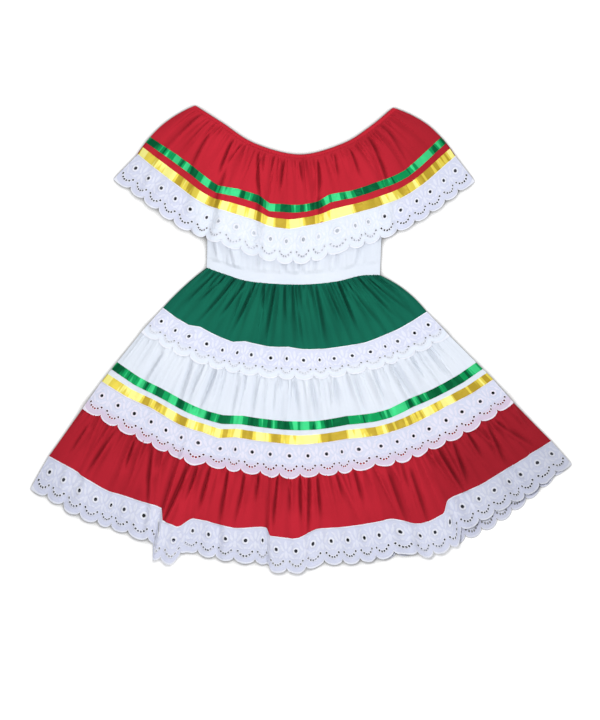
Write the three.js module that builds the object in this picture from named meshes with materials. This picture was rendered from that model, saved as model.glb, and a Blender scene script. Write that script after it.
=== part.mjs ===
// A girl's tiered folk dress, laid flat on its back: X runs across it, Y towards the neck, Z up.
// A flounce gathered on an elastic neck casing covers a plain bodice. A gathered skirt of three
// tiers hangs from an elastic waist band. Scalloped eyelet lace edges the flounce and each tier,
// and two satin ribbons run round the flounce and round the middle tier.
// Every piece is a wall of cloth: a sheet of points, each with a height and a thickness. Front
// pieces lie on back pieces, and the lowest back pieces lie on the table at Z = 0.
import * as THREE from "three";

// Cloth and trim thicknesses, in millimetres.
const CLOTH = 1.2;
const LACE = 1.0;
const RIBBON = 1.0;
const NECK_ELASTIC = 2.7; // gathered casing with its elastic inside
const WAIST_ELASTIC = 2.0;
const SEAM_GAP = 0.4; // clear space between two pieces at a seam
const LAID_GAP = 0.3; // clear space between a piece and the trim that lies on it
const LAY_GAP = 0.5; // clear space between the front and the back where they lie together

// Eyelet lace, in millimetres.
const EYELET_RADIUS = 2.6;
const EYELET_SIDES = 6;
const EYELET_SHARE = 0.36; // place of the large eyelets, as a share of the lace's width
const BORDER_SHARE = 0.68; // the scalloped border starts here
const SCALLOP_DEPTH = 6;
const JOIN_SHARE = 0.62; // the next tier is sewn behind the lace this far down its width

// Ribbons, as distances along the panel up from its lower edge, in millimetres.
const YOKE_RIBBONS = { yellow: [0.4, 11.4], green: [19.4, 29.2] };
const SKIRT_RIBBONS = { yellow: [0.4, 13.0], green: [21.4, 34.0] };

// How finely each group of pieces is cut across, in ribs that run from its top to its hem.
const SKIRT_RIBS = 72;
const RED_RIBS = 64;
const RED_GATHERS = 32;
const YOKE_RIBS = 66;
const BODICE_RIBS = 30;
const BACK_RIBS = 24;

// The middle of the laid dress, which goes to the origin, in millimetres.
const CENTRE = new THREE.Vector2(0.42, 2.65);

// A seam is a smooth line across the dress, through seven points in millimetres, left to right.
const SEAM_POINTS = {
  neck: [[-142, 318], [-106, 295], [-62, 267], [-1, 252], [57, 267], [94, 290], [124, 315]],
  yokeBottom: [[-223, 249], [-170, 213], [-116, 179], [-14, 153], [67, 168], [139, 194], [211, 247]],
  yokeLace: [[-254, 218], [-205, 184], [-139, 142], [-21, 107], [60, 121], [140, 151], [236, 215]],
  armhole: [[-109, 215], [-85, 204], [-52, 194], [-1, 189], [48, 194], [75, 204], [94, 215]],
  underarm: [[-126, 140], [-99, 132], [-62, 126], [-4, 123], [50, 127], [83, 134], [109, 140]],
  waist: [[-127, 99], [-99, 89], [-66, 80], [-4, 76], [46, 80], [80, 88], [107, 89]],
  green: [[-186, 45], [-141, 19], [-91, 1], [-8, -10], [71, -1], [125, 14], [171, 39]],
  upperLace: [[-216, 11], [-163, -20], [-98, -42], [-1, -53], [83, -43], [150, -21], [202, 6]],
  white: [[-269, -55], [-203, -92], [-125, -126], [-5, -140], [100, -128], [184, -97], [259, -51]],
  lowerLace: [[-295, -92], [-230, -128], [-143, -165], [-10, -184], [114, -168], [208, -134], [288, -84]],
  red: [[-341, -157], [-260, -200], [-156, -238], [-12, -256], [131, -240], [235, -200], [341, -138]],
  hem: [[-366, -201], [-282, -244], [-166, -282], [-12, -304], [134, -288], [242, -246], [367, -167]],
  hemBack: [[-364, -198], [-282, -240], [-166, -275], [-12, -296], [134, -292], [252, -257], [363, -170]],
};
const SEAMS = {};
for (const [name, points] of Object.entries(SEAM_POINTS)) {
  SEAMS[name] = new THREE.SplineCurve(points.map(([x, y]) => new THREE.Vector2(x, y)));
}

// The largest folds run down the ribs. Each is a ridge at a share of the width, steep on one side.
// at and half are shares of the width, starts is a place down the chain, and the rest is in mm:
// how high the ridge stands at the hem, and how far it lets down the panel's foot and the hem.
const SKIRT_FOLDS = [
  { name: "far left", at: 0.1, half: 0.034, steep: -1, starts: 3.2, rise: 3.5, drop: [1, 2] },
  { name: "beside the deep fold", at: 0.206, half: 0.02, steep: 0, starts: 3.6, rise: 5, drop: [0, 0] },
  { name: "deep left", at: 0.2585, half: 0.0225, steep: -1, starts: 2, rise: 12, drop: [14, 21] },
  { name: "low left", at: 0.36, half: 0.05, steep: 0, starts: 3.8, rise: 4, drop: [2, 2] },
  { name: "middle", at: 0.471, half: 0.036, steep: -1, starts: 3, rise: 9, drop: [10, 9] },
  { name: "low right", at: 0.61, half: 0.05, steep: 0, starts: 3.9, rise: 3.5, drop: [1, 2] },
  { name: "deep right", at: 0.7285, half: 0.0395, steep: 1, starts: 3, rise: 12, drop: [12, 14] },
  { name: "narrow right", at: 0.81, half: 0.016, steep: 0, starts: 3.4, rise: 4, drop: [0, 0] },
  { name: "far right", at: 0.915, half: 0.034, steep: 1, starts: 3.2, rise: 3.5, drop: [1, 2] },
];
const YOKE_FOLDS = [
  { name: "left shoulder", at: 0.165, half: 0.075, steep: 0, starts: 0.1, rise: 4.5, drop: [1, 2] },
  { name: "left chest", at: 0.315, half: 0.055, steep: 0, starts: 0.1, rise: 4, drop: [1, 1] },
  { name: "centre", at: 0.478, half: 0.092, steep: 0, starts: 0.15, rise: 6, drop: [3, 4] },
  { name: "right chest", at: 0.68, half: 0.09, steep: 0, starts: 0.1, rise: 4.5, drop: [1, 1] },
  { name: "right shoulder", at: 0.86, half: 0.07, steep: 0, starts: 0.1, rise: 4, drop: [1, 2] },
];
const STEEP_EDGE = 0.12; // half-width of a ridge's steep side, as a share of the ridge's half
const SOFT_EDGE = 0.65;
const CREASE_REACH = 0.004; // ribs are drawn in to this far either side of a steep side

// The cloth puffs up by this much inside its flat side folds, in millimetres.
const PUFF = { height: 1.5, reach: 10 };

// The side folds bow outwards by this much in the first section of a chain, in millimetres.
const SHOULDER_BOW = { left: 9, right: 11, fade: 0.1 };
const HIP_BOW = { left: 2, right: 5, fade: 0.05 };

// The flounce stands on the bodice between these places, and lies lower on the shoulders.
const BODICE_STEP = { leftOut: -160, leftIn: -132, rightIn: 113, rightOut: 140 };

const mix = (a, b, share) => a + (b - a) * share;
const smooth = THREE.MathUtils.smoothstep;

// A number from 0 to 1 that stays the same for one gather of one panel.
function unevenness(index, panelSeed) {
  const wave = Math.sin(index * 12.9898 + panelSeed * 78.233) * 43758.5453;
  return wave - Math.floor(wave);
}

// A chain is a run of seams down the dress. A place on it is (across, down): across is a share of
// the seam's length, and down counts seams, so 1.5 lies halfway between the second and the third.
function chainPoint(chain, across, down, shift = 0) {
  const last = chain.seams.length - 2;
  const section = Math.min(Math.floor(down), last);
  const above = chain.seams[section].getPointAt(across);
  const below = chain.seams[section + 1].getPointAt(across);
  const along = below.clone().sub(above).normalize();
  const point = above.clone().lerp(below, down - section);
  if (chain.bow && section === 0) {
    const outwards = new THREE.Vector2(across < 0.5 ? along.y : -along.y, across < 0.5 ? -along.x : along.x);
    const edge = Math.exp(-Math.min(across, 1 - across) / chain.bow.fade);
    const reach = across < 0.5 ? chain.bow.left : chain.bow.right;
    point.addScaledVector(outwards, 4 * down * (1 - down) * reach * edge);
  }
  return point.addScaledVector(along, shift + foldDrop(chain, across, down));
}

// How much of a ridge stands at this place across, from 0 to 1.
function ridge(fold, across) {
  const place = (across - fold.at) / fold.half;
  const left = fold.steep < 0 ? STEEP_EDGE : SOFT_EDGE;
  const right = fold.steep > 0 ? STEEP_EDGE : SOFT_EDGE;
  return smooth(place, -1 - left, -1 + left) * (1 - smooth(place, 1 - right, 1 + right));
}

// How high the folds stand at a place, in millimetres.
function foldRise(chain, across, down) {
  const hem = chain.hem;
  let rise = 0;
  for (const fold of chain.folds) {
    const share = THREE.MathUtils.clamp((down - fold.starts) / (hem - fold.starts), 0, 1);
    rise += fold.rise * share ** 1.4 * ridge(fold, across);
  }
  return rise;
}

// How far the folds let the cloth down at a place, in millimetres.
function foldDrop(chain, across, down) {
  const onPanel = smooth(down, chain.dropStarts, chain.foot);
  const onLace = THREE.MathUtils.clamp((down - chain.foot) / (chain.hem - chain.foot), 0, 1);
  let drop = 0;
  for (const fold of chain.folds) {
    const [footDrop, hemDrop] = fold.drop;
    drop += mix(footDrop * onPanel, hemDrop, onLace) * ridge(fold, across);
  }
  return drop;
}

function puff(across, width) {
  const edge = Math.min(across, 1 - across) * width;
  return PUFF.height * (1 - Math.exp(-edge / PUFF.reach));
}

// Evenly spread ribs, drawn in to both sides of each steep crease.
function ribsOf(count, folds) {
  const ribs = Array.from({ length: count + 1 }, (_, index) => index / count);
  for (const fold of folds.filter((one) => one.steep !== 0)) {
    const crease = fold.at + fold.steep * fold.half;
    const near = Math.round(crease * count - 0.5);
    ribs[near] = crease - CREASE_REACH;
    ribs[near + 1] = crease + CREASE_REACH;
  }
  return ribs;
}

const FLAT_CHAIN = { folds: [], foot: 0, hem: 1, dropStarts: 0 };
const yokeChain = {
  seams: [SEAMS.neck, SEAMS.yokeBottom, SEAMS.yokeLace],
  bow: SHOULDER_BOW,
  folds: YOKE_FOLDS,
  foot: 1,
  hem: 2,
  dropStarts: 0.3,
  length: 102,
};
const yokeBackChain = { ...yokeChain, ...FLAT_CHAIN };
const skirtSeams = [SEAMS.waist, SEAMS.green, SEAMS.upperLace, SEAMS.white, SEAMS.lowerLace, SEAMS.red];
const skirtChain = {
  seams: [...skirtSeams, SEAMS.hem],
  bow: HIP_BOW,
  folds: SKIRT_FOLDS,
  foot: 5,
  hem: 6,
  dropStarts: 3.1,
};
const skirtBackChain = { seams: [...skirtSeams, SEAMS.hemBack], bow: HIP_BOW, ...FLAT_CHAIN };

// The neck casing's lower edge, and the bodice, which is gathered into it between the armholes.
const CASING_WIDTH = 6.3;
const CASING_DOWN = CASING_WIDTH / yokeChain.length;
const CASING_CLEAR = 0.8; // the bodice's ribs don't line up with the casing's
const BODICE_NECK = { from: 0.13, to: 0.87 };
const bodiceNeck = {
  getPointAt: (across) => {
    const place = mix(BODICE_NECK.from, BODICE_NECK.to, across);
    return chainPoint(yokeBackChain, place, CASING_DOWN, CASING_CLEAR);
  },
};
const bodiceChain = { seams: [bodiceNeck, SEAMS.armhole, SEAMS.underarm, SEAMS.waist], ...FLAT_CHAIN };
const BAND_DOWN = 2.72; // where the waist band starts, down the bodice's chain

// Heights of the front walls' undersides over the table.
const FRONT_ON_ONE = CLOTH + LAY_GAP; // on one layer of cloth
const FRONT_ON_TRIM = RIBBON + LAID_GAP + CLOTH + LAY_GAP; // on cloth that lies on a ribbon or lace
const BACK_ON_TRIM = RIBBON + LAID_GAP;
const BODICE_BACK = BACK_ON_TRIM + CLOTH + LAID_GAP;
const BODICE_FRONT = BODICE_BACK + CLOTH + LAY_GAP;
const YOKE_ON_BODICE = BODICE_FRONT + CLOTH + 1.2; // clears the bodice's gathers too
const CASING_FRONT = NECK_ELASTIC + LAID_GAP;
const BAND_FRONT = WAIST_ELASTIC - 0.4 + LAID_GAP;

// How far the flounce lies inside the bodice's step at x, from 0 on a shoulder to 1 on the bodice.
function onBodice(x) {
  const left = smooth(x, BODICE_STEP.leftOut, BODICE_STEP.leftIn);
  return left * (1 - smooth(x, BODICE_STEP.rightIn, BODICE_STEP.rightOut));
}

// One point of a panel. A row gives its place down the chain, the height of the wall's underside,
// how high the gathers stand there, and a shift along the panel that leaves the seam gap.
function sheetPoint(chain, panel, across, row) {
  const at = chainPoint(chain, across, row.down, row.shift);
  const low = row.level;
  const level = row.inner === undefined ? low : mix(low, row.inner, onBodice(at.x));
  return { x: at.x, y: at.y, z: level + standing(chain, panel, across, row) };
}

// How high the cloth stands over its lowest level: the puff, the folds and the panel's gathers.
function standing(chain, panel, across, row) {
  if (!panel.gathers) return 0;
  const turn = across * panel.gathers;
  const index = Math.floor(turn);
  const strength = mix(0.4, 1, unevenness(index, panel.seed));
  const wave = 0.5 - 0.5 * Math.cos(2 * Math.PI * (turn - index));
  const side = Math.min(1, Math.min(across, 1 - across) * panel.gathers);
  const gathers = (row.gather ?? 0) * strength * wave * side;
  return puff(across, panel.width) + foldRise(chain, across, row.down) + gathers;
}

// A wall's height grows by no more than this where it is steep.
const MOST_LIFT = 2.1;

// A wall of cloth over a net of points. Heights are kept, and the thickness is measured upwards
// and grows on slopes, so that the wall stays as thick across. Faces run anticlockwise from above.
function thicken(points, faces, thickness) {
  const steepest = points.map(() => 0);
  for (const face of faces) {
    face.forEach((from, corner) => {
      const to = face[(corner + 1) % face.length];
      const run = Math.hypot(points[to].x - points[from].x, points[to].y - points[from].y);
      const slope = Math.abs(points[to].z - points[from].z) / Math.max(run, 1);
      steepest[from] = Math.max(steepest[from], slope);
      steepest[to] = Math.max(steepest[to], slope);
    });
  }
  const lift = steepest.map((slope) => thickness * Math.min(MOST_LIFT, Math.hypot(1, slope)));
  points.forEach((point, index) => (point.top = point.z + lift[index]));
  const count = points.length;
  const triangles = [];
  const edges = new Map();
  for (const [a, b, c] of faces) {
    triangles.push([a + count, b + count, c + count], [c, b, a]);
    for (const [from, to] of [[a, b], [b, c], [c, a]]) edges.set(`${from} ${to}`, [from, to]);
  }
  for (const [from, to] of edges.values()) {
    if (edges.has(`${to} ${from}`)) continue;
    triangles.push([from, to, to + count], [from, to + count, from + count]);
  }
  const corners = [...points.map((p) => [p.x, p.y, p.z]), ...points.map((p) => [p.x, p.y, p.top])];
  const geometry = new THREE.BufferGeometry();
  geometry.setAttribute("position", new THREE.Float32BufferAttribute(corners.flat(), 3));
  geometry.setIndex(triangles.flat());
  geometry.computeVertexNormals();
  return geometry;
}

// The faces of a grid of rows, split along each cell's lower diagonal, so that what is laid
// evenly over a cell stays clear of it.
function gridFaces(points, rowCount, ribCount) {
  const faces = [];
  for (let row = 0; row < rowCount - 1; row += 1) {
    for (let rib = 0; rib < ribCount - 1; rib += 1) {
      const upperLeft = row * ribCount + rib;
      const upperRight = upperLeft + 1;
      const lowerLeft = upperLeft + ribCount;
      const lowerRight = lowerLeft + 1;
      const falling = points[upperLeft].z + points[lowerRight].z;
      const rising = points[upperRight].z + points[lowerLeft].z;
      if (falling < rising) {
        faces.push([upperLeft, lowerLeft, lowerRight], [upperLeft, lowerRight, upperRight]);
      } else {
        faces.push([upperLeft, lowerLeft, upperRight], [upperRight, lowerLeft, lowerRight]);
      }
    }
  }
  return faces;
}

// A gathered panel: its rows of points, and the wall made on them.
function panelWall(chain, panel, ribs, thickness) {
  const points = panel.rows.flatMap((row) => ribs.map((across) => sheetPoint(chain, panel, across, row)));
  const faces = gridFaces(points, panel.rows.length, ribs.length);
  const geometry = thicken(points, faces, thickness);
  return { geometry, points, ribCount: ribs.length };
}

// A ribbon sewn on the last interval of a panel, made from the panel's points, moved outwards.
// It lies over a front panel, and under a back panel, flat on the table.
function ribbonWall(wall, band, isBack) {
  const { points, ribCount } = wall;
  const upperRow = points.length - 2 * ribCount;
  const laid = [];
  for (const distance of [band[1], band[0]]) {
    for (let rib = 0; rib < ribCount; rib += 1) {
      const upper = points[upperRow + rib];
      const lower = points[upperRow + ribCount + rib];
      const share = 1 - distance / Math.hypot(upper.x - lower.x, upper.y - lower.y);
      const clear = LAID_GAP + 0.1;
      laid.push({
        x: mix(upper.x, lower.x, share),
        y: mix(upper.y, lower.y, share),
        z: isBack ? 0 : mix(upper.top, lower.top, share) + clear,
      });
    }
  }
  return thicken(laid, gridFaces(laid, 2, ribCount), RIBBON);
}

// The eyelet's corners round a place on the lace, anticlockwise from above. rowAt gives the row
// so many millimetres lower than the eyelet's middle.
function eyelet(chain, lace, across, rowAt) {
  const step = 0.002;
  const left = chainPoint(chain, across - step, rowAt(0).down);
  const right = chainPoint(chain, across + step, rowAt(0).down);
  const acrossPerMm = (2 * step) / right.distanceTo(left);
  return Array.from({ length: EYELET_SIDES }, (_, corner) => {
    const turn = (2 * Math.PI * (corner + 0.5)) / EYELET_SIDES;
    const sideways = EYELET_RADIUS * Math.cos(turn) * acrossPerMm;
    return sheetPoint(chain, lace, across + sideways, rowAt(-EYELET_RADIUS * Math.sin(turn)));
  });
}

// Eyelet lace: scallops along its lower edge, and one large eyelet cut through over each. Each
// cell is two blocks: from the top row to the middle row, with the eyelet, and on to the scallop's
// edge. The middle row is where the next tier is sewn behind the lace, if there is one.
function laceWall(chain, lace, ribs) {
  const { top, bottom } = lace;
  const ribsPerCell = (ribs.length - 1) / lace.scallops;
  const points = [];
  const faces = [];
  const between = (one, other, share) => ({
    down: mix(one.down, other.down, share),
    level: mix(one.level, other.level, share),
    inner: one.inner === undefined ? undefined : mix(one.inner, other.inner, share),
    gather: mix(one.gather, other.gather, share),
  });
  const middle = lace.joined ?? between(top, bottom, BORDER_SHARE);
  const middleShare = (middle.down - top.down) / (bottom.down - top.down);
  const upperRow = (share) => between(top, middle, share / middleShare);
  const add = (point) => points.push(point) - 1;
  const at = (across, row) => add(sheetPoint(chain, lace, across, row));
  const placeIn = (cell, local) => {
    const exact = (cell + local) * ribsPerCell;
    const rib = Math.min(Math.floor(exact), ribs.length - 2);
    return mix(ribs[rib], ribs[rib + 1], exact - rib);
  };
  const scallopEdge = (cell, local) => {
    const isCorner = (cell === 0 && local < 0.5) || (cell === lace.scallops - 1 && local > 0.5);
    const curve = isCorner ? 0.85 : Math.sqrt(Math.max(0, 1 - (2 * local - 1) ** 2));
    return { ...bottom, shift: -SCALLOP_DEPTH * (1 - curve) };
  };
  // One row of a cell, from the last point of the cell before it.
  const rowOf = (cell, steps, makeRow, last) => {
    const first = last === undefined ? at(placeIn(cell, 0), makeRow(cell, 0)) : last.at(-1);
    const places = Array.from({ length: steps }, (_, step) => (step + 1) / steps);
    return [first, ...places.map((local) => at(placeIn(cell, local), makeRow(cell, local)))];
  };
  let topRow;
  let sides;
  let middleRow;
  let footRow;
  for (let cell = 0; cell < lace.scallops; cell += 1) {
    topRow = rowOf(cell, lace.topSteps, () => top, topRow);
    footRow = rowOf(cell, lace.footSteps, scallopEdge, footRow);
    if (lace.eyelets) {
      sides = rowOf(cell, 1, () => upperRow(EYELET_SHARE), sides);
      middleRow = rowOf(cell, lace.topSteps, () => middle, middleRow);
      const place = placeIn(cell, 0.5);
      const hole = eyelet(chain, lace, place, (lower) => upperRow(EYELET_SHARE + lower / lace.height));
      const outline = [...middleRow, sides[1], ...[...topRow].reverse(), sides[0]];
      fillCell(points, faces, outline, hole.map(add));
      faces.push(...stripFaces(middleRow, footRow));
    } else {
      faces.push(...stripFaces(topRow, footRow));
    }
  }
  return thicken(points, faces, LACE);
}

// The faces between two rows that need not have the same number of points.
function stripFaces(upperRow, lowerRow) {
  const upperSteps = upperRow.length - 1;
  const lowerSteps = lowerRow.length - 1;
  const faces = [];
  let above = 0;
  let below = 0;
  while (above < upperSteps || below < lowerSteps) {
    const upperNext = (above + 0.5) / upperSteps;
    const lowerNext = (below + 0.5) / lowerSteps;
    if (below === lowerSteps || (above < upperSteps && upperNext <= lowerNext)) {
      faces.push([upperRow[above], lowerRow[below], upperRow[above + 1]]);
      above += 1;
    } else {
      faces.push([upperRow[above], lowerRow[below], lowerRow[below + 1]]);
      below += 1;
    }
  }
  return faces;
}

// Adds the faces of one outline, listed anticlockwise, with a hole, if it has one.
function fillCell(points, faces, outline, hole) {
  const flat = (index) => new THREE.Vector2(points[index].x, points[index].y);
  const indices = [...outline, ...hole];
  const holes = hole.length ? [hole.map(flat)] : [];
  for (const face of THREE.ShapeUtils.triangulateShape(outline.map(flat), holes)) {
    const [a, b, c] = face.map((corner) => indices[corner]);
    const turn = flat(b).sub(flat(a)).cross(flat(c).sub(flat(a)));
    faces.push(turn > 0 ? [a, b, c] : [a, c, b]);
  }
}

const cotton = (color) => new THREE.MeshStandardMaterial({ color, roughness: 0.9, metalness: 0 });
const satin = (color) => new THREE.MeshStandardMaterial({ color, roughness: 0.32, metalness: 0.1 });
const RED_COTTON = cotton(0xc01e30);
const GREEN_COTTON = cotton(0x0b6b52);
const WHITE_COTTON = cotton(0xeef2f8);
const EYELET_COTTON = cotton(0xe6e6f2);
const GREEN_SATIN = satin(0x149a58);
const YELLOW_SATIN = satin(0xf0dc50);

const dress = new THREE.Group();
dress.position.set(-CENTRE.x, -CENTRE.y, 0);

function place(name, geometry, material) {
  const mesh = new THREE.Mesh(geometry, material);
  mesh.name = name;
  dress.add(mesh);
}

const upper = -SEAM_GAP / 2; // shift of a row that ends at a seam
const lower = SEAM_GAP / 2; // shift of a row that starts at a seam

// Neck casing: one elastic strip for the front and one for the back.
function makeNeckCasing() {
  const rows = (level) => [{ down: 0, level }, { down: CASING_DOWN, level, shift: upper }];
  const frontRibs = ribsOf(YOKE_RIBS / 2, []);
  const backRibs = ribsOf(YOKE_RIBS / 3, []);
  const front = panelWall(yokeBackChain, { rows: rows(CASING_FRONT) }, frontRibs, NECK_ELASTIC);
  const back = panelWall(yokeBackChain, { rows: rows(0) }, backRibs, NECK_ELASTIC);
  place("neck_casing_front", front.geometry, RED_COTTON);
  place("neck_casing_back", back.geometry, RED_COTTON);
}

// Flounce: a red gathered strip with two ribbons, edged with lace, front and back.
function makeFlounce() {
  const ribs = ribsOf(YOKE_RIBS, YOKE_FOLDS);
  const ribbonTop = 1 - (YOKE_RIBBONS.green[1] + 2) / yokeChain.length;
  const shoulder = FRONT_ON_TRIM;
  const front = {
    gathers: 22,
    seed: 1,
    width: 420,
    rows: [
      { down: CASING_DOWN, level: CASING_FRONT, inner: CASING_FRONT + CLOTH + 0.35, gather: 0, shift: lower },
      { down: 0.15, level: shoulder, inner: YOKE_ON_BODICE, gather: 2.4 },
      { down: ribbonTop, level: shoulder, inner: YOKE_ON_BODICE, gather: 1.6 },
      { down: 1, level: shoulder, inner: YOKE_ON_BODICE, gather: 0.7, shift: upper },
    ],
  };
  const frontWall = panelWall(yokeChain, front, ribs, CLOTH);
  place("yoke_front", frontWall.geometry, RED_COTTON);
  place("yoke_green_ribbon_front", ribbonWall(frontWall, YOKE_RIBBONS.green, false), GREEN_SATIN);
  place("yoke_yellow_ribbon_front", ribbonWall(frontWall, YOKE_RIBBONS.yellow, false), YELLOW_SATIN);

  const backRibs = ribsOf(YOKE_RIBS / 3, []);
  const back = {
    rows: [
      { down: CASING_DOWN, level: 0, shift: lower },
      { down: ribbonTop - 0.08, level: 0 },
      { down: ribbonTop, level: BACK_ON_TRIM },
      { down: 1, level: BACK_ON_TRIM, shift: upper },
    ],
  };
  const backWall = panelWall(yokeBackChain, back, backRibs, CLOTH);
  place("yoke_back", backWall.geometry, RED_COTTON);
  place("yoke_green_ribbon_back", ribbonWall(backWall, YOKE_RIBBONS.green, true), GREEN_SATIN);
  place("yoke_yellow_ribbon_back", ribbonWall(backWall, YOKE_RIBBONS.yellow, true), YELLOW_SATIN);

  const lace = {
    scallops: 22,
    topSteps: 3,
    footSteps: 3,
    eyelets: true,
    gathers: 22,
    seed: 2,
    width: 480,
    height: 46,
  };
  const frontLace = {
    ...lace,
    top: { down: 1, level: shoulder, inner: YOKE_ON_BODICE, gather: 0.7, shift: lower },
    bottom: { down: 2, level: LACE + LAY_GAP, inner: YOKE_ON_BODICE + 0.2, gather: 1.2 },
  };
  place("yoke_lace_front", laceWall(yokeChain, frontLace, ribs), EYELET_COTTON);
  const backLace = {
    ...lace,
    topSteps: 1,
    footSteps: 2,
    eyelets: false,
    gathers: 0,
    top: { down: 1, level: 0, gather: 0, shift: lower },
    bottom: { down: 2, level: 0, gather: 0 },
  };
  place("yoke_lace_back", laceWall(yokeBackChain, backLace, backRibs), EYELET_COTTON);
}

// Bodice and the elastic band at its waist, front and back.
function makeBodice() {
  const ribs = ribsOf(BODICE_RIBS, []);
  const front = {
    gathers: 10,
    seed: 3,
    width: 240,
    rows: [
      { down: 0, level: CASING_FRONT, gather: 0 },
      { down: 1, level: BODICE_FRONT, gather: 0.6 },
      { down: 2, level: BODICE_FRONT, gather: 0.9 },
      { down: BAND_DOWN, level: BAND_FRONT, gather: 0.9, shift: upper },
    ],
  };
  place("bodice_front", panelWall(bodiceChain, front, ribs, CLOTH).geometry, WHITE_COTTON);
  const backRibs = ribsOf(BACK_RIBS, []);
  const back = {
    rows: [
      { down: 0, level: CLOTH + SEAM_GAP },
      { down: 1, level: BODICE_BACK },
      { down: 2, level: BODICE_BACK },
      { down: BAND_DOWN, level: 0, shift: upper },
    ],
  };
  place("bodice_back", panelWall(bodiceChain, back, backRibs, CLOTH).geometry, WHITE_COTTON);

  const band = (level) => [
    { down: BAND_DOWN, level, shift: lower },
    { down: 3, level, shift: upper },
  ];
  const frontBand = panelWall(bodiceChain, { rows: band(BAND_FRONT) }, ribs, WAIST_ELASTIC);
  place("waist_band_front", frontBand.geometry, WHITE_COTTON);
  const backBand = panelWall(bodiceChain, { rows: band(0) }, backRibs, BAND_FRONT - SEAM_GAP);
  place("waist_band_back", backBand.geometry, WHITE_COTTON);
}

// The three tiers, front and back.
function makeTiers() {
  const ribs = ribsOf(SKIRT_RIBS, SKIRT_FOLDS);
  const backRibs = ribsOf(BACK_RIBS, []);
  const green = {
    gathers: 24,
    seed: 4,
    width: 400,
    rows: [
      { down: 0, level: BAND_FRONT, gather: 0.7, shift: lower },
      { down: 0.45, level: FRONT_ON_ONE, gather: 3.2 },
      { down: 1, level: FRONT_ON_ONE, gather: 1.8, shift: upper },
    ],
  };
  place("green_tier_front", panelWall(skirtChain, green, ribs, CLOTH).geometry, GREEN_COTTON);
  const greenBack = { rows: [{ down: 0, level: 0, shift: lower }, { down: 1, level: 0, shift: upper }] };
  place("green_tier_back", panelWall(skirtBackChain, greenBack, backRibs, CLOTH).geometry, GREEN_COTTON);

  const whiteJoin = 1 + JOIN_SHARE;
  const white = {
    gathers: 24,
    seed: 5,
    width: 560,
    rows: [
      { down: whiteJoin, level: FRONT_ON_TRIM, gather: 0 },
      { down: 2, level: FRONT_ON_TRIM, gather: 0.8 },
      { down: 2.15, level: FRONT_ON_TRIM, gather: 2.4 },
      { down: 2.55, level: FRONT_ON_TRIM, gather: 1.6 },
      { down: 3, level: FRONT_ON_TRIM, gather: 0.9, shift: upper },
    ],
  };
  const whiteWall = panelWall(skirtChain, white, ribs, CLOTH);
  place("white_tier_front", whiteWall.geometry, WHITE_COTTON);
  place("skirt_green_ribbon_front", ribbonWall(whiteWall, SKIRT_RIBBONS.green, false), GREEN_SATIN);
  place("skirt_yellow_ribbon_front", ribbonWall(whiteWall, SKIRT_RIBBONS.yellow, false), YELLOW_SATIN);
  const whiteBack = {
    rows: [
      { down: whiteJoin, level: BACK_ON_TRIM },
      { down: 2.55, level: BACK_ON_TRIM },
      { down: 3, level: BACK_ON_TRIM, shift: upper },
    ],
  };
  const whiteBackWall = panelWall(skirtBackChain, whiteBack, backRibs, CLOTH);
  place("white_tier_back", whiteBackWall.geometry, WHITE_COTTON);
  place("skirt_green_ribbon_back", ribbonWall(whiteBackWall, SKIRT_RIBBONS.green, true), GREEN_SATIN);
  place("skirt_yellow_ribbon_back", ribbonWall(whiteBackWall, SKIRT_RIBBONS.yellow, true), YELLOW_SATIN);

  const redJoin = 3 + JOIN_SHARE;
  const red = {
    gathers: RED_GATHERS,
    seed: 6,
    width: 800,
    rows: [
      { down: redJoin, level: FRONT_ON_TRIM, gather: 0 },
      { down: 4, level: FRONT_ON_TRIM, gather: 0.8 },
      { down: 4.13, level: FRONT_ON_TRIM, gather: 2.4 },
      { down: 4.55, level: FRONT_ON_ONE, gather: 2.2 },
      { down: 5, level: FRONT_ON_ONE, gather: 1.4, shift: upper },
    ],
  };
  const redRibs = ribsOf(RED_RIBS, SKIRT_FOLDS);
  place("red_tier_front", panelWall(skirtChain, red, redRibs, CLOTH).geometry, RED_COTTON);
  const redBack = {
    rows: [
      { down: redJoin, level: BACK_ON_TRIM },
      { down: 4.03, level: BACK_ON_TRIM },
      { down: 4.12, level: 0 },
      { down: 5, level: 0, shift: upper },
    ],
  };
  place("red_tier_back", panelWall(skirtBackChain, redBack, backRibs, CLOTH).geometry, RED_COTTON);
}

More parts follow.
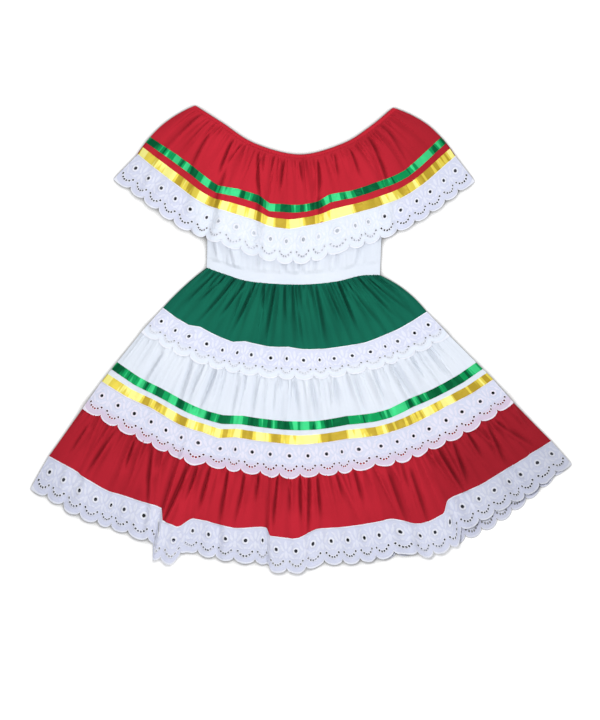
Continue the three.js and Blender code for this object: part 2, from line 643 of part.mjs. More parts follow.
// Eyelet lace at the foot of each tier, front and back. The upper two laces hold the next tier.
function makeSkirtLaces() {
  const ribs = ribsOf(SKIRT_RIBS, SKIRT_FOLDS);
  const backRibs = ribsOf(BACK_RIBS, []);
  const overTier = FRONT_ON_TRIM + CLOTH + SEAM_GAP;
  const joinedLace = (first, level, scallops, seed, height, width) => ({
    scallops,
    topSteps: 2,
    footSteps: 3,
    eyelets: true,
    gathers: scallops,
    seed,
    height,
    width,
    top: { down: first, level, gather: 1, shift: lower },
    joined: { down: first + JOIN_SHARE, level: overTier + 0.7, gather: 0.6 },
    bottom: { down: first + 1, level: overTier + 2.1, gather: 0.6 },
  });
  const upperLace = joinedLace(1, FRONT_ON_ONE, 18, 7, 43, 560);
  place("upper_lace_front", laceWall(skirtChain, upperLace, ribs), EYELET_COTTON);
  const lowerLace = { ...joinedLace(3, FRONT_ON_TRIM, 24, 8, 44, 800), topSteps: 3 };
  place("lower_lace_front", laceWall(skirtChain, lowerLace, ribs), EYELET_COTTON);
  const hemLace = {
    scallops: 32,
    topSteps: 2,
    footSteps: 3,
    eyelets: true,
    gathers: RED_GATHERS,
    seed: 6,
    height: 47,
    width: 800,
    top: { down: 5, level: FRONT_ON_ONE, gather: 1.4, shift: lower },
    bottom: { down: 6, level: LACE + LAY_GAP, gather: 2 },
  };
  const hemRibs = ribsOf(RED_RIBS, SKIRT_FOLDS);
  place("hem_lace_front", laceWall(skirtChain, hemLace, hemRibs), EYELET_COTTON);

  const backStrip = (first) => ({
    rows: [{ down: first, level: 0, shift: lower }, { down: first + 1, level: 0 }],
  });
  const upperBack = panelWall(skirtBackChain, backStrip(1), backRibs, LACE);
  const lowerBack = panelWall(skirtBackChain, backStrip(3), backRibs, LACE);
  place("upper_lace_back", upperBack.geometry, EYELET_COTTON);
  place("lower_lace_back", lowerBack.geometry, EYELET_COTTON);
  const hemBack = {
    ...hemLace,
    scallops: BACK_RIBS,
    topSteps: 1,
    footSteps: 3,
    eyelets: false,
    gathers: 0,
    top: { down: 5, level: 0, gather: 0, shift: lower },
    bottom: { down: 6, level: 0, gather: 0 },
  };
  place("hem_lace_back", laceWall(skirtBackChain, hemBack, backRibs), EYELET_COTTON);
}

makeNeckCasing();
makeFlounce();
makeBodice();
makeTiers();
makeSkirtLaces();

export default dress;
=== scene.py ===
"""A girl's tiered folk dress, laid flat on its back, in cotton, satin ribbon and eyelet lace.

Sizes are in millimetres, as the dress is drawn: X runs across it, Y towards the neck, and Z up.
They become metres where a piece's points are placed. Each piece is a thin shell of cloth that
follows the wall it stands for, with the finer gathers and creases of real cloth.
"""

import logging
import math
from dataclasses import dataclass
from dataclasses import field
from enum import Enum

import bpy
import numpy as np
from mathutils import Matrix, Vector
from mathutils.bvhtree import BVHTree
from mathutils.geometry import delaunay_2d_cdt


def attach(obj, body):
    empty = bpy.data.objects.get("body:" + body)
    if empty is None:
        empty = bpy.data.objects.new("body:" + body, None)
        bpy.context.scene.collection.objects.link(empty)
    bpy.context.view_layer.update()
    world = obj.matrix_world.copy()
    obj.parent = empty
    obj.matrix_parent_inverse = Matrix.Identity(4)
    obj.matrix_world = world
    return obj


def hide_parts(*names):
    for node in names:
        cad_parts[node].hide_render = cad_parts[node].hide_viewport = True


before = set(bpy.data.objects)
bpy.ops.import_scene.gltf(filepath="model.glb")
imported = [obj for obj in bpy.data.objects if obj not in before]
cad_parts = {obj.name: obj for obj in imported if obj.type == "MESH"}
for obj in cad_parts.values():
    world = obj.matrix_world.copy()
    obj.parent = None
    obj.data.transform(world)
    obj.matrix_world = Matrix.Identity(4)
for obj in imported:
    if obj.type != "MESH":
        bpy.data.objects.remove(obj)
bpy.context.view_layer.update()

LOG = logging.getLogger("dress")
MM = 0.001
CENTRE = (0.42, 2.65)  # the middle of the laid dress, which is the frame's origin
BODY = "root"

# Thickness of the walls that the shells follow, and of the shells.
CLOTH_WALL = 1.2
LACE_WALL = 1.0
LAID_GAP = 0.3
CLOTH = 0.7
LACE = 0.5
RIBBON = 0.35
LEAST_CLEAR = 0.1  # a shell's underside stays this far above its wall's lowest level

# Levels of the front walls' undersides, as the layers lie on each other.
FRONT_ON_ONE = 1.7
FRONT_ON_TRIM = 3.0
BACK_ON_TRIM = 1.3
BODICE_BACK = 2.8
BODICE_FRONT = 4.5
YOKE_ON_BODICE = 6.9
CASING_THICK = 2.7
CASING_FRONT = 3.0
CASING_WIDTH = 6.3
BAND_FRONT = 1.9
BAND_THICK = 2.0
LACE_ON_TIER = 4.5

# The cloth puffs up inside its flat side folds.
PUFF_HEIGHT = 2.8
PUFF_REACH = 10.0

# A fold's soft side, as a share of its half-width, and its steep side, as a share of the width.
SOFT_EDGE = 0.65
STEEP_REACH = 0.004

# A crease slopes more gently on its outer side, this many times as far.
OUTER_SLOPE = 2.4

# How far a groove's painted shade reaches, how dark each millimetre of depth paints it, and how dark each
# millimetre of a flat sheet's gathers paints it.
CAVITY_REACH = 10.0
CAVITY_DARK = 0.30
FLAT_DARK = 0.75

Array = np.ndarray


def smooth(value: Array, low: float, high: float) -> Array:
    """Rises smoothly from 0 at low to 1 at high."""
    share = np.clip((value - low) / (high - low), 0.0, 1.0)
    return share * share * (3.0 - 2.0 * share)


def mix(one: Array, other: Array, share: Array) -> Array:
    """The value that lies this share of the way from one to the other."""
    return one + (other - one) * share


@dataclass(frozen=True)
class Seam:
    """A smooth line across the dress, from its left to its right side."""

    points: tuple
    samples: int = 400

    def along(self, places: Array) -> Array:
        """Points of the curve, at places from 0 to 1 that count its spans evenly."""
        points = np.array(self.points, float)
        last = len(points) - 1
        exact = places * last
        index = np.minimum(np.floor(exact).astype(int), last)
        t = (exact - index)[:, None]
        before = points[np.maximum(index - 1, 0)]
        start = points[index]
        end = points[np.minimum(index + 1, last)]
        after = points[np.minimum(index + 2, last)]
        leave = 0.5 * (end - before)
        arrive = 0.5 * (after - start)
        cube = (2 * start - 2 * end + leave + arrive) * t**3
        return cube + (3 * end - 3 * start - 2 * leave - arrive) * t**2 + leave * t + start

    def at(self, share: Array) -> Array:
        """Points of the seam, at shares of its length.

        Args:
            share: shares from 0 at the left end to 1 at the right end.

        Returns:
            One row of x and y for each share.
        """
        places = np.linspace(0.0, 1.0, self.samples + 1)
        steps = np.linalg.norm(np.diff(self.along(places), axis=0), axis=1)
        length = np.concatenate([[0.0], np.cumsum(steps)])
        return self.along(np.interp(share * length[-1], length, places))


NECK = Seam(((-142, 318), (-106, 295), (-62, 267), (-1, 252), (57, 267), (94, 290), (124, 315)))
YOKE_FOOT = Seam(
    ((-223, 249), (-170, 213), (-116, 179), (-14, 153), (67, 168), (139, 194), (211, 247))
)
YOKE_EDGE = Seam(
    ((-254, 218), (-205, 184), (-139, 142), (-21, 107), (60, 121), (140, 151), (236, 215))
)
ARMHOLE = Seam(((-109, 215), (-85, 204), (-52, 194), (-1, 189), (48, 194), (75, 204), (94, 215)))
UNDERARM = Seam(((-126, 140), (-99, 132), (-62, 126), (-4, 123), (50, 127), (83, 134), (109, 140)))
WAIST = Seam(((-127, 99), (-99, 89), (-66, 80), (-4, 76), (46, 80), (80, 88), (107, 89)))
GREEN_FOOT = Seam(((-186, 45), (-141, 19), (-91, 1), (-8, -10), (71, -1), (125, 14), (171, 39)))
UPPER_EDGE = Seam(
    ((-216, 11), (-163, -20), (-98, -42), (-1, -53), (83, -43), (150, -21), (202, 6))
)
WHITE_FOOT = Seam(
    ((-269, -55), (-203, -92), (-125, -126), (-5, -140), (100, -128), (184, -97), (259, -51))
)
LOWER_EDGE = Seam(
    ((-295, -92), (-230, -128), (-143, -165), (-10, -184), (114, -168), (208, -134), (288, -84))
)
RED_FOOT = Seam(
    ((-341, -157), (-260, -200), (-156, -238), (-12, -256), (131, -240), (235, -200), (341, -138))
)
HEM = Seam(
    ((-366, -201), (-282, -244), (-166, -282), (-12, -304), (134, -288), (242, -246), (367, -167))
)
HEM_BACK = Seam(
    ((-364, -198), (-282, -240), (-166, -275), (-12, -296), (134, -292), (252, -257), (363, -170))
)


class Steep(Enum):
    """Which side of a fold is a sharp crease."""

    LEFT = -1
    NEITHER = 0
    RIGHT = 1


@dataclass(frozen=True)
class Fold:
    """A large fold: a ridge that runs down the ribs and grows towards the hem.

    at and half are shares of the width, starts is a place down the chain, and the rest is in
    millimetres: how high it stands at the hem, and how far it lets down the foot and the hem.
    """

    at: float
    half: float
    steep: Steep
    starts: float
    rise: float
    foot_drop: float
    hem_drop: float
    reach: float = STEEP_REACH

    def ridge(self, across: Array) -> Array:
        """How much of the ridge stands at a place across, from 0 to 1."""
        place = (across - self.at) / self.half
        sharp = self.reach / self.half
        left = sharp if self.steep is Steep.LEFT else SOFT_EDGE
        right = sharp if self.steep is Steep.RIGHT else SOFT_EDGE
        return smooth(place, -1 - left, -1 + left) * (1 - smooth(place, 1 - right, 1 + right))


SKIRT_FOLDS = (
    Fold(0.1, 0.034, Steep.LEFT, 3.2, 3.5, 1, 2),
    Fold(0.206, 0.02, Steep.NEITHER, 3.6, 5, 0, 0),
    Fold(0.2585, 0.0225, Steep.LEFT, 2.0, 12, 14, 21),
    Fold(0.36, 0.05, Steep.NEITHER, 3.8, 4, 2, 2),
    Fold(0.471, 0.036, Steep.LEFT, 3.0, 9, 10, 9),
    Fold(0.61, 0.05, Steep.NEITHER, 3.9, 3.5, 1, 2),
    Fold(0.7285, 0.0395, Steep.RIGHT, 3.0, 12, 12, 14, 0.011),
    Fold(0.81, 0.016, Steep.NEITHER, 3.4, 4, 0, 0),
    Fold(0.915, 0.034, Steep.RIGHT, 3.2, 3.5, 1, 2),
)
YOKE_FOLDS = (
    Fold(0.165, 0.075, Steep.NEITHER, 0.1, 4.5, 1, 2),
    Fold(0.315, 0.055, Steep.NEITHER, 0.1, 4, 1, 1),
    Fold(0.478, 0.092, Steep.NEITHER, 0.15, 6, 3, 4),
    Fold(0.68, 0.09, Steep.NEITHER, 0.1, 4.5, 1, 1),
    Fold(0.86, 0.07, Steep.NEITHER, 0.1, 4, 1, 2),
)


@dataclass(frozen=True)
class Bow:
    """How far the side folds bow outwards in a chain's first section."""

    left: float
    right: float
    fade: float


@dataclass(frozen=True)
class Sway:
    """How far the cloth sags, in millimetres, at places across one level of a chain."""

    down: float
    places: tuple = ((0.0, 0.0),)

    def at(self, across: Array) -> Array:
        """The sag at shares of the width."""
        return np.interp(across, *zip(*self.places))


@dataclass(frozen=True)
class Chain:
    """A run of seams down the dress.

    A place on it is across, a share of the seams' length, and down, which counts the seams, so
    that 1.5 lies halfway between the second seam and the third.
    """

    seams: tuple
    bow: Bow | None = None
    folds: tuple = ()
    foot: float = 1.0
    hem: float = 2.0
    drop_starts: float = 0.0
    sways: tuple = ()

    def ribs(self, across: Array, down: Array) -> tuple[Array, Array, Array]:
        """The rib through each place.

        Args:
            across: shares of the width.
            down: places down the chain.

        Returns:
            The rib's upper end, its lower end, and how far down it the place lies.
        """
        last = len(self.seams) - 2
        section = np.clip(np.floor(down).astype(int), 0, last)
        ends = np.stack([seam.at(across) for seam in self.seams])
        index = np.arange(len(across))
        return ends[section, index], ends[section + 1, index], down - section

    def place(self, across: Array, down: Array, shift: Array | float = 0.0) -> Array:
        """Where places on the chain lie, as rows of x and y.

        Args:
            across: shares of the width.
            down: places down the chain.
            shift: how far further down their ribs the places lie.
        """
        above, below, share = self.ribs(across, down)
        run = below - above
        along = run / np.linalg.norm(run, axis=1)[:, None]
        point = above + run * share[:, None]
        if self.bow is not None:
            left = across < 0.5
            outwards = np.where(left[:, None], along[:, ::-1] * (1, -1), along[:, ::-1] * (-1, 1))
            reach = np.where(left, self.bow.left, self.bow.right)
            edge = np.exp(-np.minimum(across, 1 - across) / self.bow.fade)
            bulge = np.where(down < 1, 4 * down * (1 - down) * reach * edge, 0.0)
            point = point + outwards * bulge[:, None]
        return point + along * (shift + self.drop(across, down))[:, None]

    def rise(self, across: Array, down: Array) -> Array:
        """How high the large folds stand."""
        total = np.zeros_like(across)
        for fold in self.folds:
            share = np.clip((down - fold.starts) / (self.hem - fold.starts), 0.0, 1.0)
            total += fold.rise * share**1.4 * fold.ridge(across)
        return total

    def drop(self, across: Array, down: Array) -> Array:
        """How far the large folds let the cloth down."""
        total = np.zeros_like(across)
        for above, below in zip(self.sways, self.sways[1:]):
            share = smooth(down, above.down, below.down)
            inside = (down >= above.down) & (down < below.down)
            total += np.where(inside, mix(above.at(across), below.at(across), share), 0.0)
        if not self.folds:
            return total
        on_panel = smooth(down, self.drop_starts, self.foot)
        on_lace = np.clip((down - self.foot) / (self.hem - self.foot), 0.0, 1.0)
        for fold in self.folds:
            drop = mix(fold.foot_drop * on_panel, fold.hem_drop, on_lace)
            total += drop * fold.ridge(across)
        return total


YOKE_SWAYS = (
    Sway(0.3),
    Sway(
        0.72,
        ((0, -3), (0.09, -4.6), (0.2, -3.3), (0.25, -1.3), (0.31, -6.3), (0.38, -6.9), (0.42, 0))
        + ((0.46, -3), (0.57, -3), (0.61, -7.3), (0.68, -4.3), (0.76, -5.3), (0.86, -1.3), (1, -5)),
    ),
    Sway(
        1.0,
        ((0, -5), (0.05, -2.6), (0.17, -0.6), (0.25, -0.6), (0.3, -2.8), (0.38, -3.4), (0.42, -0.6))
        + ((0.48, -1), (0.52, -4.4), (0.62, -3.6), (0.7, -3.6), (0.8, -1.8), (0.88, -1.6), (1, -3.6)),
    ),
    Sway(2.0),
)
SKIRT_SWAYS = (
    Sway(0.2),
    Sway(
        1.0,
        ((0, 0), (0.06, 2), (0.11, 2), (0.15, -2.6), (0.23, 0), (0.28, 2), (0.32, -2), (0.41, 0))
        + ((0.48, -2), (0.53, 1), (0.61, 3), (0.75, 4), (0.83, 1), (1, -1)),
    ),
    Sway(2.0),
    Sway(
        2.65,
        ((0, 0), (0.07, 3), (0.13, 2), (0.25, 3.4), (0.31, 4.2), (0.36, 0.6), (0.47, 2.4), (0.55, 2.4))
        + ((0.63, 0.2), (0.7, 3.4), (0.74, 4), (0.8, 0.6), (0.87, 2.4), (0.94, 4), (1, 3)),
    ),
    Sway(
        3.0,
        ((0, -1), (0.07, 0), (0.13, -2.6), (0.21, 0), (0.27, -1.6), (0.31, 1.4), (0.35, -3.6))
        + ((0.45, -2), (0.5, -0.6), (0.62, -3.6), (0.69, 0), (0.77, 0), (0.87, -2.6), (0.94, 0.6), (1, 1)),
    ),
    Sway(4.0),
    Sway(4.2),
    Sway(
        5.0,
        ((0, -2), (0.05, -3), (0.13, 1), (0.22, -5), (0.27, 0), (0.32, -3), (0.37, 0), (0.42, -4))
        + ((0.48, 0), (0.52, -2), (0.66, -3), (0.73, 2), (0.79, -4), (0.85, -2), (0.9, -5), (1, -4)),
    ),
    Sway(6.0),
)
# Painted shade across the yoke, the red tier and the hem lace: how dark, at shares of the width, darker
# towards the sides.
YOKE_SIDE_SHADE = ((0.0, 0.05), (0.1, 0.0), (0.7, 0.0), (0.82, 0.12), (1.0, 0.2))
RED_SIDE_SHADE = (
    (0.0, 0.2),
    (0.12, 0.14),
    (0.2, 0.16),
    (0.27, 0.03),
    (0.6, 0.03),
    (0.68, 0.12),
    (0.76, 0.14),
    (0.82, 0.34),
    (0.9, 0.36),
    (1.0, 0.42),
)
HEM_SIDE_SHADE = ((0.0, 0.04), (0.08, 0.0), (0.7, 0.0), (0.8, 0.08), (1.0, 0.22))
YOKE_SEAMS = (NECK, YOKE_FOOT, YOKE_EDGE)
SHOULDER_BOW = Bow(9, 11, 0.1)
HIP_BOW = Bow(2, 5, 0.05)
SKIRT_SEAMS = (WAIST, GREEN_FOOT, UPPER_EDGE, WHITE_FOOT, LOWER_EDGE, RED_FOOT)
YOKE_CHAIN = Chain(YOKE_SEAMS, SHOULDER_BOW, YOKE_FOLDS, 1, 2, 0.3, YOKE_SWAYS)
YOKE_BACK_CHAIN = Chain(YOKE_SEAMS, SHOULDER_BOW)
SKIRT_CHAIN = Chain((*SKIRT_SEAMS, HEM), HIP_BOW, SKIRT_FOLDS, 5, 6, 3.6, SKIRT_SWAYS)
SKIRT_BACK_CHAIN = Chain((*SKIRT_SEAMS, HEM_BACK), HIP_BOW)
CASING_DOWN = CASING_WIDTH / 102
BODICE_CLEAR = 0.8


@dataclass(frozen=True)
class BodiceNeck(Seam):
    """The bodice's top edge, which is gathered into the casing between the armholes."""

    ends: tuple = (0.13, 0.87)

    def at(self, share: Array) -> Array:
        """Points of the edge, at shares of its length."""
        across = mix(self.ends[0], self.ends[1], share)
        down = np.full_like(across, CASING_DOWN)
        return YOKE_BACK_CHAIN.place(across, down, BODICE_CLEAR)


BODICE_CHAIN = Chain((BodiceNeck(()), ARMHOLE, UNDERARM, WAIST))
BAND_DOWN = 2.72

# The flounce stands on the bodice between these places, and lies lower on the shoulders.
STEP_OUT = (-160, 140)
STEP_IN = (-132, 113)


def on_bodice(x: Array) -> Array:
    """How far the flounce stands on the bodice, from 0 on a shoulder to 1."""
    left = smooth(x, STEP_OUT[0], STEP_IN[0])
    return left * (1 - smooth(x, STEP_IN[1], STEP_OUT[1]))


@dataclass(frozen=True)
class Row:
    """A level of a panel: its place down the chain, its height, and how high the gathers are."""

    down: float
    level: float
    gather: float = 0.0
    inner: float | None = None
    puff: float = PUFF_HEIGHT


@dataclass(frozen=True)
class Crease:
    """A crease, from one place to another, with its depth and half-width."""

    start: tuple
    end: tuple
    depth: float
    half: float

    def relief(self, across: Array, down: Array, span: float) -> Array:
        """The trough, with a raised lip on the side towards the middle of the dress.

        Args:
            across: shares of the width.
            down: places down the chain.
            span: the panel's width in millimetres.
        """
        (from_across, from_down), (to_across, to_down) = self.start, self.end
        along = (down - from_down) / (to_down - from_down)
        inwards = 1 if from_across + to_across < 1 else -1
        away = (across - mix(from_across, to_across, along)) * inwards * span / self.half
        ends = smooth(along, -0.1, 0.15) * (1 - smooth(along, 0.45, 1.15))
        trough = np.exp(-((away / np.where(away > 0, 1.0, OUTER_SLOPE)) ** 2))
        lip = np.exp(-(((away - 2.6) / 1.7) ** 2))
        return self.depth * ends * (0.75 * lip - trough)


@dataclass(frozen=True)
class Gathers:
    """The fine gathers at a seam: how many, how high, and how far from it they reach."""

    count: int
    height: float
    half: float
    reach: float
    seed: int
    least: float = 0.15
    from_foot: bool = False

    def relief(self, across: Array, share: Array, span: float) -> Array:
        """The height of the gathers.

        Args:
            across: shares of the width.
            share: the share of the panel's length, from its top.
            span: the panel's width in millimetres.
        """
        total = np.zeros_like(across)
        pick = np.random.default_rng(self.seed)
        run = 1 - share if self.from_foot else np.maximum(share, 0.0)
        for index in range(self.count):
            at = (index + pick.uniform(0.15, 0.85)) / self.count
            lean = pick.normal(0.0, 0.012)
            half = self.half * pick.uniform(0.6, 1.5) / span
            reach = self.reach * pick.uniform(self.least, 1.0)
            height = self.height * pick.uniform(0.3, 1.0)
            away = (across - at - lean * run) / half
            total += height * np.exp(-(away**2)) * np.exp(-((run / reach) ** 2))
        return total


@dataclass(frozen=True)
class Surface:
    """A panel's upper face: its levels, folds, gathers and creases, and how much painted shade its grooves
    and sides take.
    """

    chain: Chain
    rows: tuple
    wall: float
    span: float
    puffs: bool = True
    waves: int = 0
    wave_seed: int = 0
    gathers: tuple = ()
    creases: tuple = ()
    fine_from: float | None = None
    fine_to: float | None = None
    fine_start: float = -0.06
    groove_shade: float = 1.0
    side_shade: tuple = ((0.0, 0.0), (1.0, 0.0))

    def column(self, name: str, down: Array) -> Array:
        """One column of the rows, blended between them."""
        downs = [row.down for row in self.rows]
        return np.interp(down, downs, [getattr(row, name) for row in self.rows])

    def level(self, across: Array, down: Array) -> Array:
        """The lowest level of the wall."""
        low = self.column("level", down)
        if self.rows[0].inner is None:
            return low
        x = self.chain.place(across, down)[:, 0]
        return mix(low, self.column("inner", down), on_bodice(x))

    def away(self, across: Array) -> Array:
        """Painted shade towards the sides, where the cloth would turn away from the light, at places
        across.
        """
        return np.interp(across, *zip(*self.side_shade))

    def wave(self, across: Array, down: Array) -> Array:
        """The even gathers that the wall has too."""
        if not self.waves:
            return np.zeros_like(across)
        turn = across * self.waves
        index = np.floor(turn)
        noise = np.sin(index * 12.9898 + self.wave_seed * 78.233) * 43758.5453
        strength = mix(0.4, 1.0, noise - np.floor(noise))
        shape = 0.5 - 0.5 * np.cos(2 * math.pi * (turn - index))
        side = np.minimum(1.0, np.minimum(across, 1 - across) * self.waves)
        return self.column("gather", down) * strength * shape * side

    def fine(self, across: Array, down: Array) -> Array:
        """The fine gathers and the creases, which start where the layer above ends."""
        total = np.zeros_like(across)
        start = self.rows[0].down if self.fine_from is None else self.fine_from
        share = (down - start) / (self.rows[-1].down - start)
        for gathers in self.gathers:
            total += gathers.relief(across, share, self.span)
        for crease in self.creases:
            total += crease.relief(across, down, self.span)
        if self.fine_to is not None:
            total *= 1 - smooth(down, self.fine_to - 0.12, self.fine_to)
        return total * smooth(share, self.fine_start, self.fine_start + 0.08)

    def top(self, across: Array, down: Array) -> Array:
        """The height of the panel's upper face."""
        level = self.level(across, down)
        height = level + self.wall + self.chain.rise(across, down) + self.wave(across, down)
        height += self.fine(across, down)
        if self.puffs:
            edge = np.minimum(across, 1 - across) * self.span
            height += self.column("puff", down) * (1 - np.exp(-edge / PUFF_REACH))
        else:
            height = np.minimum(height, level + CLOTH_WALL)
        return np.maximum(height, level + CLOTH + LEAST_CLEAR)

    def crease_shade(self, across: Array, down: Array) -> Array:
        """Painted shade of the small gathers of a sheet that lies flat, seen from below."""
        return np.minimum(FLAT_DARK * self.fine(across, down), 0.45)


class Layers:
    """The pieces laid so far, which a later piece rests on and doesn't dip into."""

    def __init__(self) -> None:
        """Starts with nothing laid."""
        self.trees = {}

    def lay(self, piece: bpy.types.Object) -> None:
        """Adds a finished piece."""
        points = [vertex.co.copy() for vertex in piece.data.vertices]
        faces = [tuple(face.vertices) for face in piece.data.polygons]
        self.trees[piece.name] = BVHTree.FromPolygons(points, faces)

    def lift(self, xy: Array, z: Array, thickness: float, below: str) -> Array:
        """Raises an upper face wherever it would dip into the piece below.

        Args:
            xy: the places, in millimetres.
            z: the heights of the upper face there.
            thickness: of the cloth that hangs below the face.
            below: the name of the piece below, or nothing.
        """
        if not below:
            return z
        raised = z.copy()
        ray = Vector((0.0, 0.0, -1.0))
        for index, (x, y) in enumerate(xy):
            start = Vector(((x - CENTRE[0]) * MM, (y - CENTRE[1]) * MM, 0.1))
            hit = self.trees[below].ray_cast(start, ray)[0]
            if hit is not None:
                raised[index] = max(raised[index], hit.z / MM + thickness + LEAST_CLEAR)
        return raised


LAYERS = Layers()


def deselect() -> None:
    """Selects nothing."""
    bpy.ops.object.select_all(action="DESELECT")


def place_points(piece: bpy.types.Object, xy: Array, z: Array) -> None:
    """Moves a mesh's points to places in millimetres on the drawing."""
    points = np.column_stack([xy[:, 0] - CENTRE[0], xy[:, 1] - CENTRE[1], z]) * MM
    piece.data.vertices.foreach_set("co", points.astype(np.float32).ravel())
    piece.data.update()


def write_uv(piece: bpy.types.Object, places: Array) -> None:
    """Gives a mesh a UV map from one place for each point."""
    mesh = piece.data
    layer = mesh.uv_layers.get("UVMap") or mesh.uv_layers.new(name="UVMap")
    corners = np.empty(len(mesh.loops), np.int32)
    mesh.loops.foreach_get("vertex_index", corners)
    layer.data.foreach_set("uv", places[corners].astype(np.float32).ravel())


def write_attribute(piece: bpy.types.Object, name: str, values: Array) -> None:
    """Notes something of a mesh point by point: how much painted shade it takes, or what lies behind it.
    """
    layer = piece.data.attributes.new(name, "FLOAT", "POINT")
    layer.data.foreach_set("value", values.astype(np.float32))


def shade_smooth(piece: bpy.types.Object) -> None:
    """Shades a piece smoothly, but for its edges."""
    deselect()
    piece.select_set(True)
    bpy.context.view_layer.objects.active = piece
    bpy.ops.object.shade_smooth_by_angle(angle=math.radians(55))


def thicken(piece: bpy.types.Object, thickness: float, looks: tuple) -> None:
    """Makes a sheet a thin shell that hangs below its upper face, and dresses both faces.

    Args:
        piece: the sheet, which faces up.
        thickness: of the cloth.
        looks: the materials of the upper face and of the lower one.
    """
    for look in looks:
        piece.data.materials.append(look)
    solidify = piece.modifiers.new("cloth", "SOLIDIFY")
    solidify.thickness = thickness * MM
    solidify.offset = -1
    solidify.use_even_offset = False
    solidify.material_offset = 1
    solidify.material_offset_rim = 0
    deselect()
    piece.select_set(True)
    bpy.context.view_layer.objects.active = piece
    bpy.ops.object.modifier_apply(modifier=solidify.name)
    shade_smooth(piece)


def painted_cavity_shade(height: Array, cells: tuple, span: float) -> Array:
    """How much painted shade each place of a grid takes, from how far it lies below the cloth beside it.

    Args:
        height: the heights of the upper face, row by row.
        cells: how many cells across and down.
        span: the panel's width in millimetres.
    """
    grid = height.reshape(cells[1] + 1, cells[0] + 1)
    half = max(2, round(CAVITY_REACH / span * cells[0]))
    kernel = np.hanning(2 * half + 1)
    kernel /= kernel.sum()
    padded = np.pad(grid, ((0, 0), (half, half)), mode="edge")
    beside = np.array([np.convolve(row, kernel, "valid") for row in padded])
    return np.clip(CAVITY_DARK * (beside - grid), 0.0, 0.55).ravel()


@dataclass(frozen=True)
class Cut:
    """The flat size that a sheet is said to be cut to, how it is held, and what it lies on.

    Every cut here is a rectangle. An area, in square metres, is about what the modelled cloth
    has, and not the cut's own, so the sheet's test doesn't show that the cloth fills its cut.
    """

    width: float
    length: float
    held: str
    rests_on: tuple = ()
    area: float | None = None


def declare(piece: bpy.types.Object, node: str) -> None:
    """Attaches a finished piece to the body it rides on, hides the part it stands for, and logs its faces.

    Args:
        piece: the finished shell.
        node: the node that it stands for.
    """
    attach(piece, BODY)
    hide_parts(node)
    LOG.info("%s: %d faces", piece.name, len(piece.data.polygons))


def grid_piece(name: str, columns: int, rows: int) -> tuple[bpy.types.Object, Array, Array]:
    """Starts a sheet as a plane grid.

    Args:
        name: the piece's name.
        columns: cells across.
        rows: cells down.

    Returns:
        The piece, and for each point its share across and its share down from the top.
    """
    deselect()
    bpy.ops.mesh.primitive_grid_add(x_subdivisions=columns, y_subdivisions=rows, size=2)
    piece = bpy.context.active_object
    piece.name = name
    piece.data.name = name
    flat = np.empty(len(piece.data.vertices) * 3)
    piece.data.vertices.foreach_get("co", flat)
    flat = flat.reshape(-1, 3)
    return piece, (flat[:, 0] + 1) / 2, (1 - flat[:, 1]) / 2


def panel_piece(
    name: str, surface: Surface, cells: tuple, looks: tuple, shade_cover: tuple = (), below: str = ""
) -> bpy.types.Object:
    """A panel of cloth on its surface.

    Args:
        name: the piece's name.
        surface: its upper face.
        cells: how many cells across and down.
        looks: the materials of its two faces.
        shade_cover: the places down the chain between which it comes out from under a lace.
        below: the name of the piece that it lies on, if one does.
    """
    piece, across, share = grid_piece(name, *cells)
    down = mix(surface.rows[0].down, surface.rows[-1].down, share)
    xy = surface.chain.place(across, down)
    top = LAYERS.lift(xy, surface.top(across, down), CLOTH, below)
    place_points(piece, xy, top)
    length = np.linalg.norm(xy[0] - xy[-1])
    write_uv(piece, np.column_stack([across * surface.span, -share * length]) * MM)
    # Painted shade: the small gathers of a flat sheet, or the grooves and the darker sides of a puffed
    # panel, and the part under a lace.
    shade = surface.crease_shade(across, down)
    if surface.puffs:
        shade = surface.groove_shade * painted_cavity_shade(top, cells, surface.span)
        shade = 1 - (1 - shade) * (1 - surface.away(across))
    if shade_cover:
        shade = np.maximum(shade, 1 - smooth(down, *shade_cover))
    write_attribute(piece, "painted_shade", shade)
    thicken(piece, CLOTH, looks)
    if surface.puffs:
        LAYERS.lay(piece)
    return piece


def ribbon_piece(
    name: str, surface: Surface, foot: float, band: tuple, cells: tuple, looks: tuple, below: str
) -> bpy.types.Object:
    """A ribbon laid on a panel, at distances up from the panel's foot.

    Args:
        name: the piece's name.
        surface: the panel that it lies on, or the level it lies at on the table.
        foot: the place of the panel's foot down its chain.
        band: the distances of the ribbon's lower and upper edge from the foot.
        cells: how many cells across and down.
        looks: the materials of its two faces.
        below: the name of the panel, or nothing for a ribbon that lies on the table.
    """
    piece, across, share = grid_piece(name, *cells)
    section = np.full_like(across, foot - 1e-6)
    upper, lower, _ = surface.chain.ribs(across, section)
    rib = np.linalg.norm(lower - upper, axis=1)
    distance = mix(band[1], band[0], share)
    down = foot - distance / rib
    xy = surface.chain.place(across, down)
    top = surface.top(across, down) + (RIBBON + 0.3 if below else 0.0)
    place_points(piece, xy, LAYERS.lift(xy, top, RIBBON, below))
    width = band[1] - band[0]
    write_uv(piece, np.column_stack([across * surface.span, -share * width]) * MM)
    thicken(piece, RIBBON, looks)
    return piece


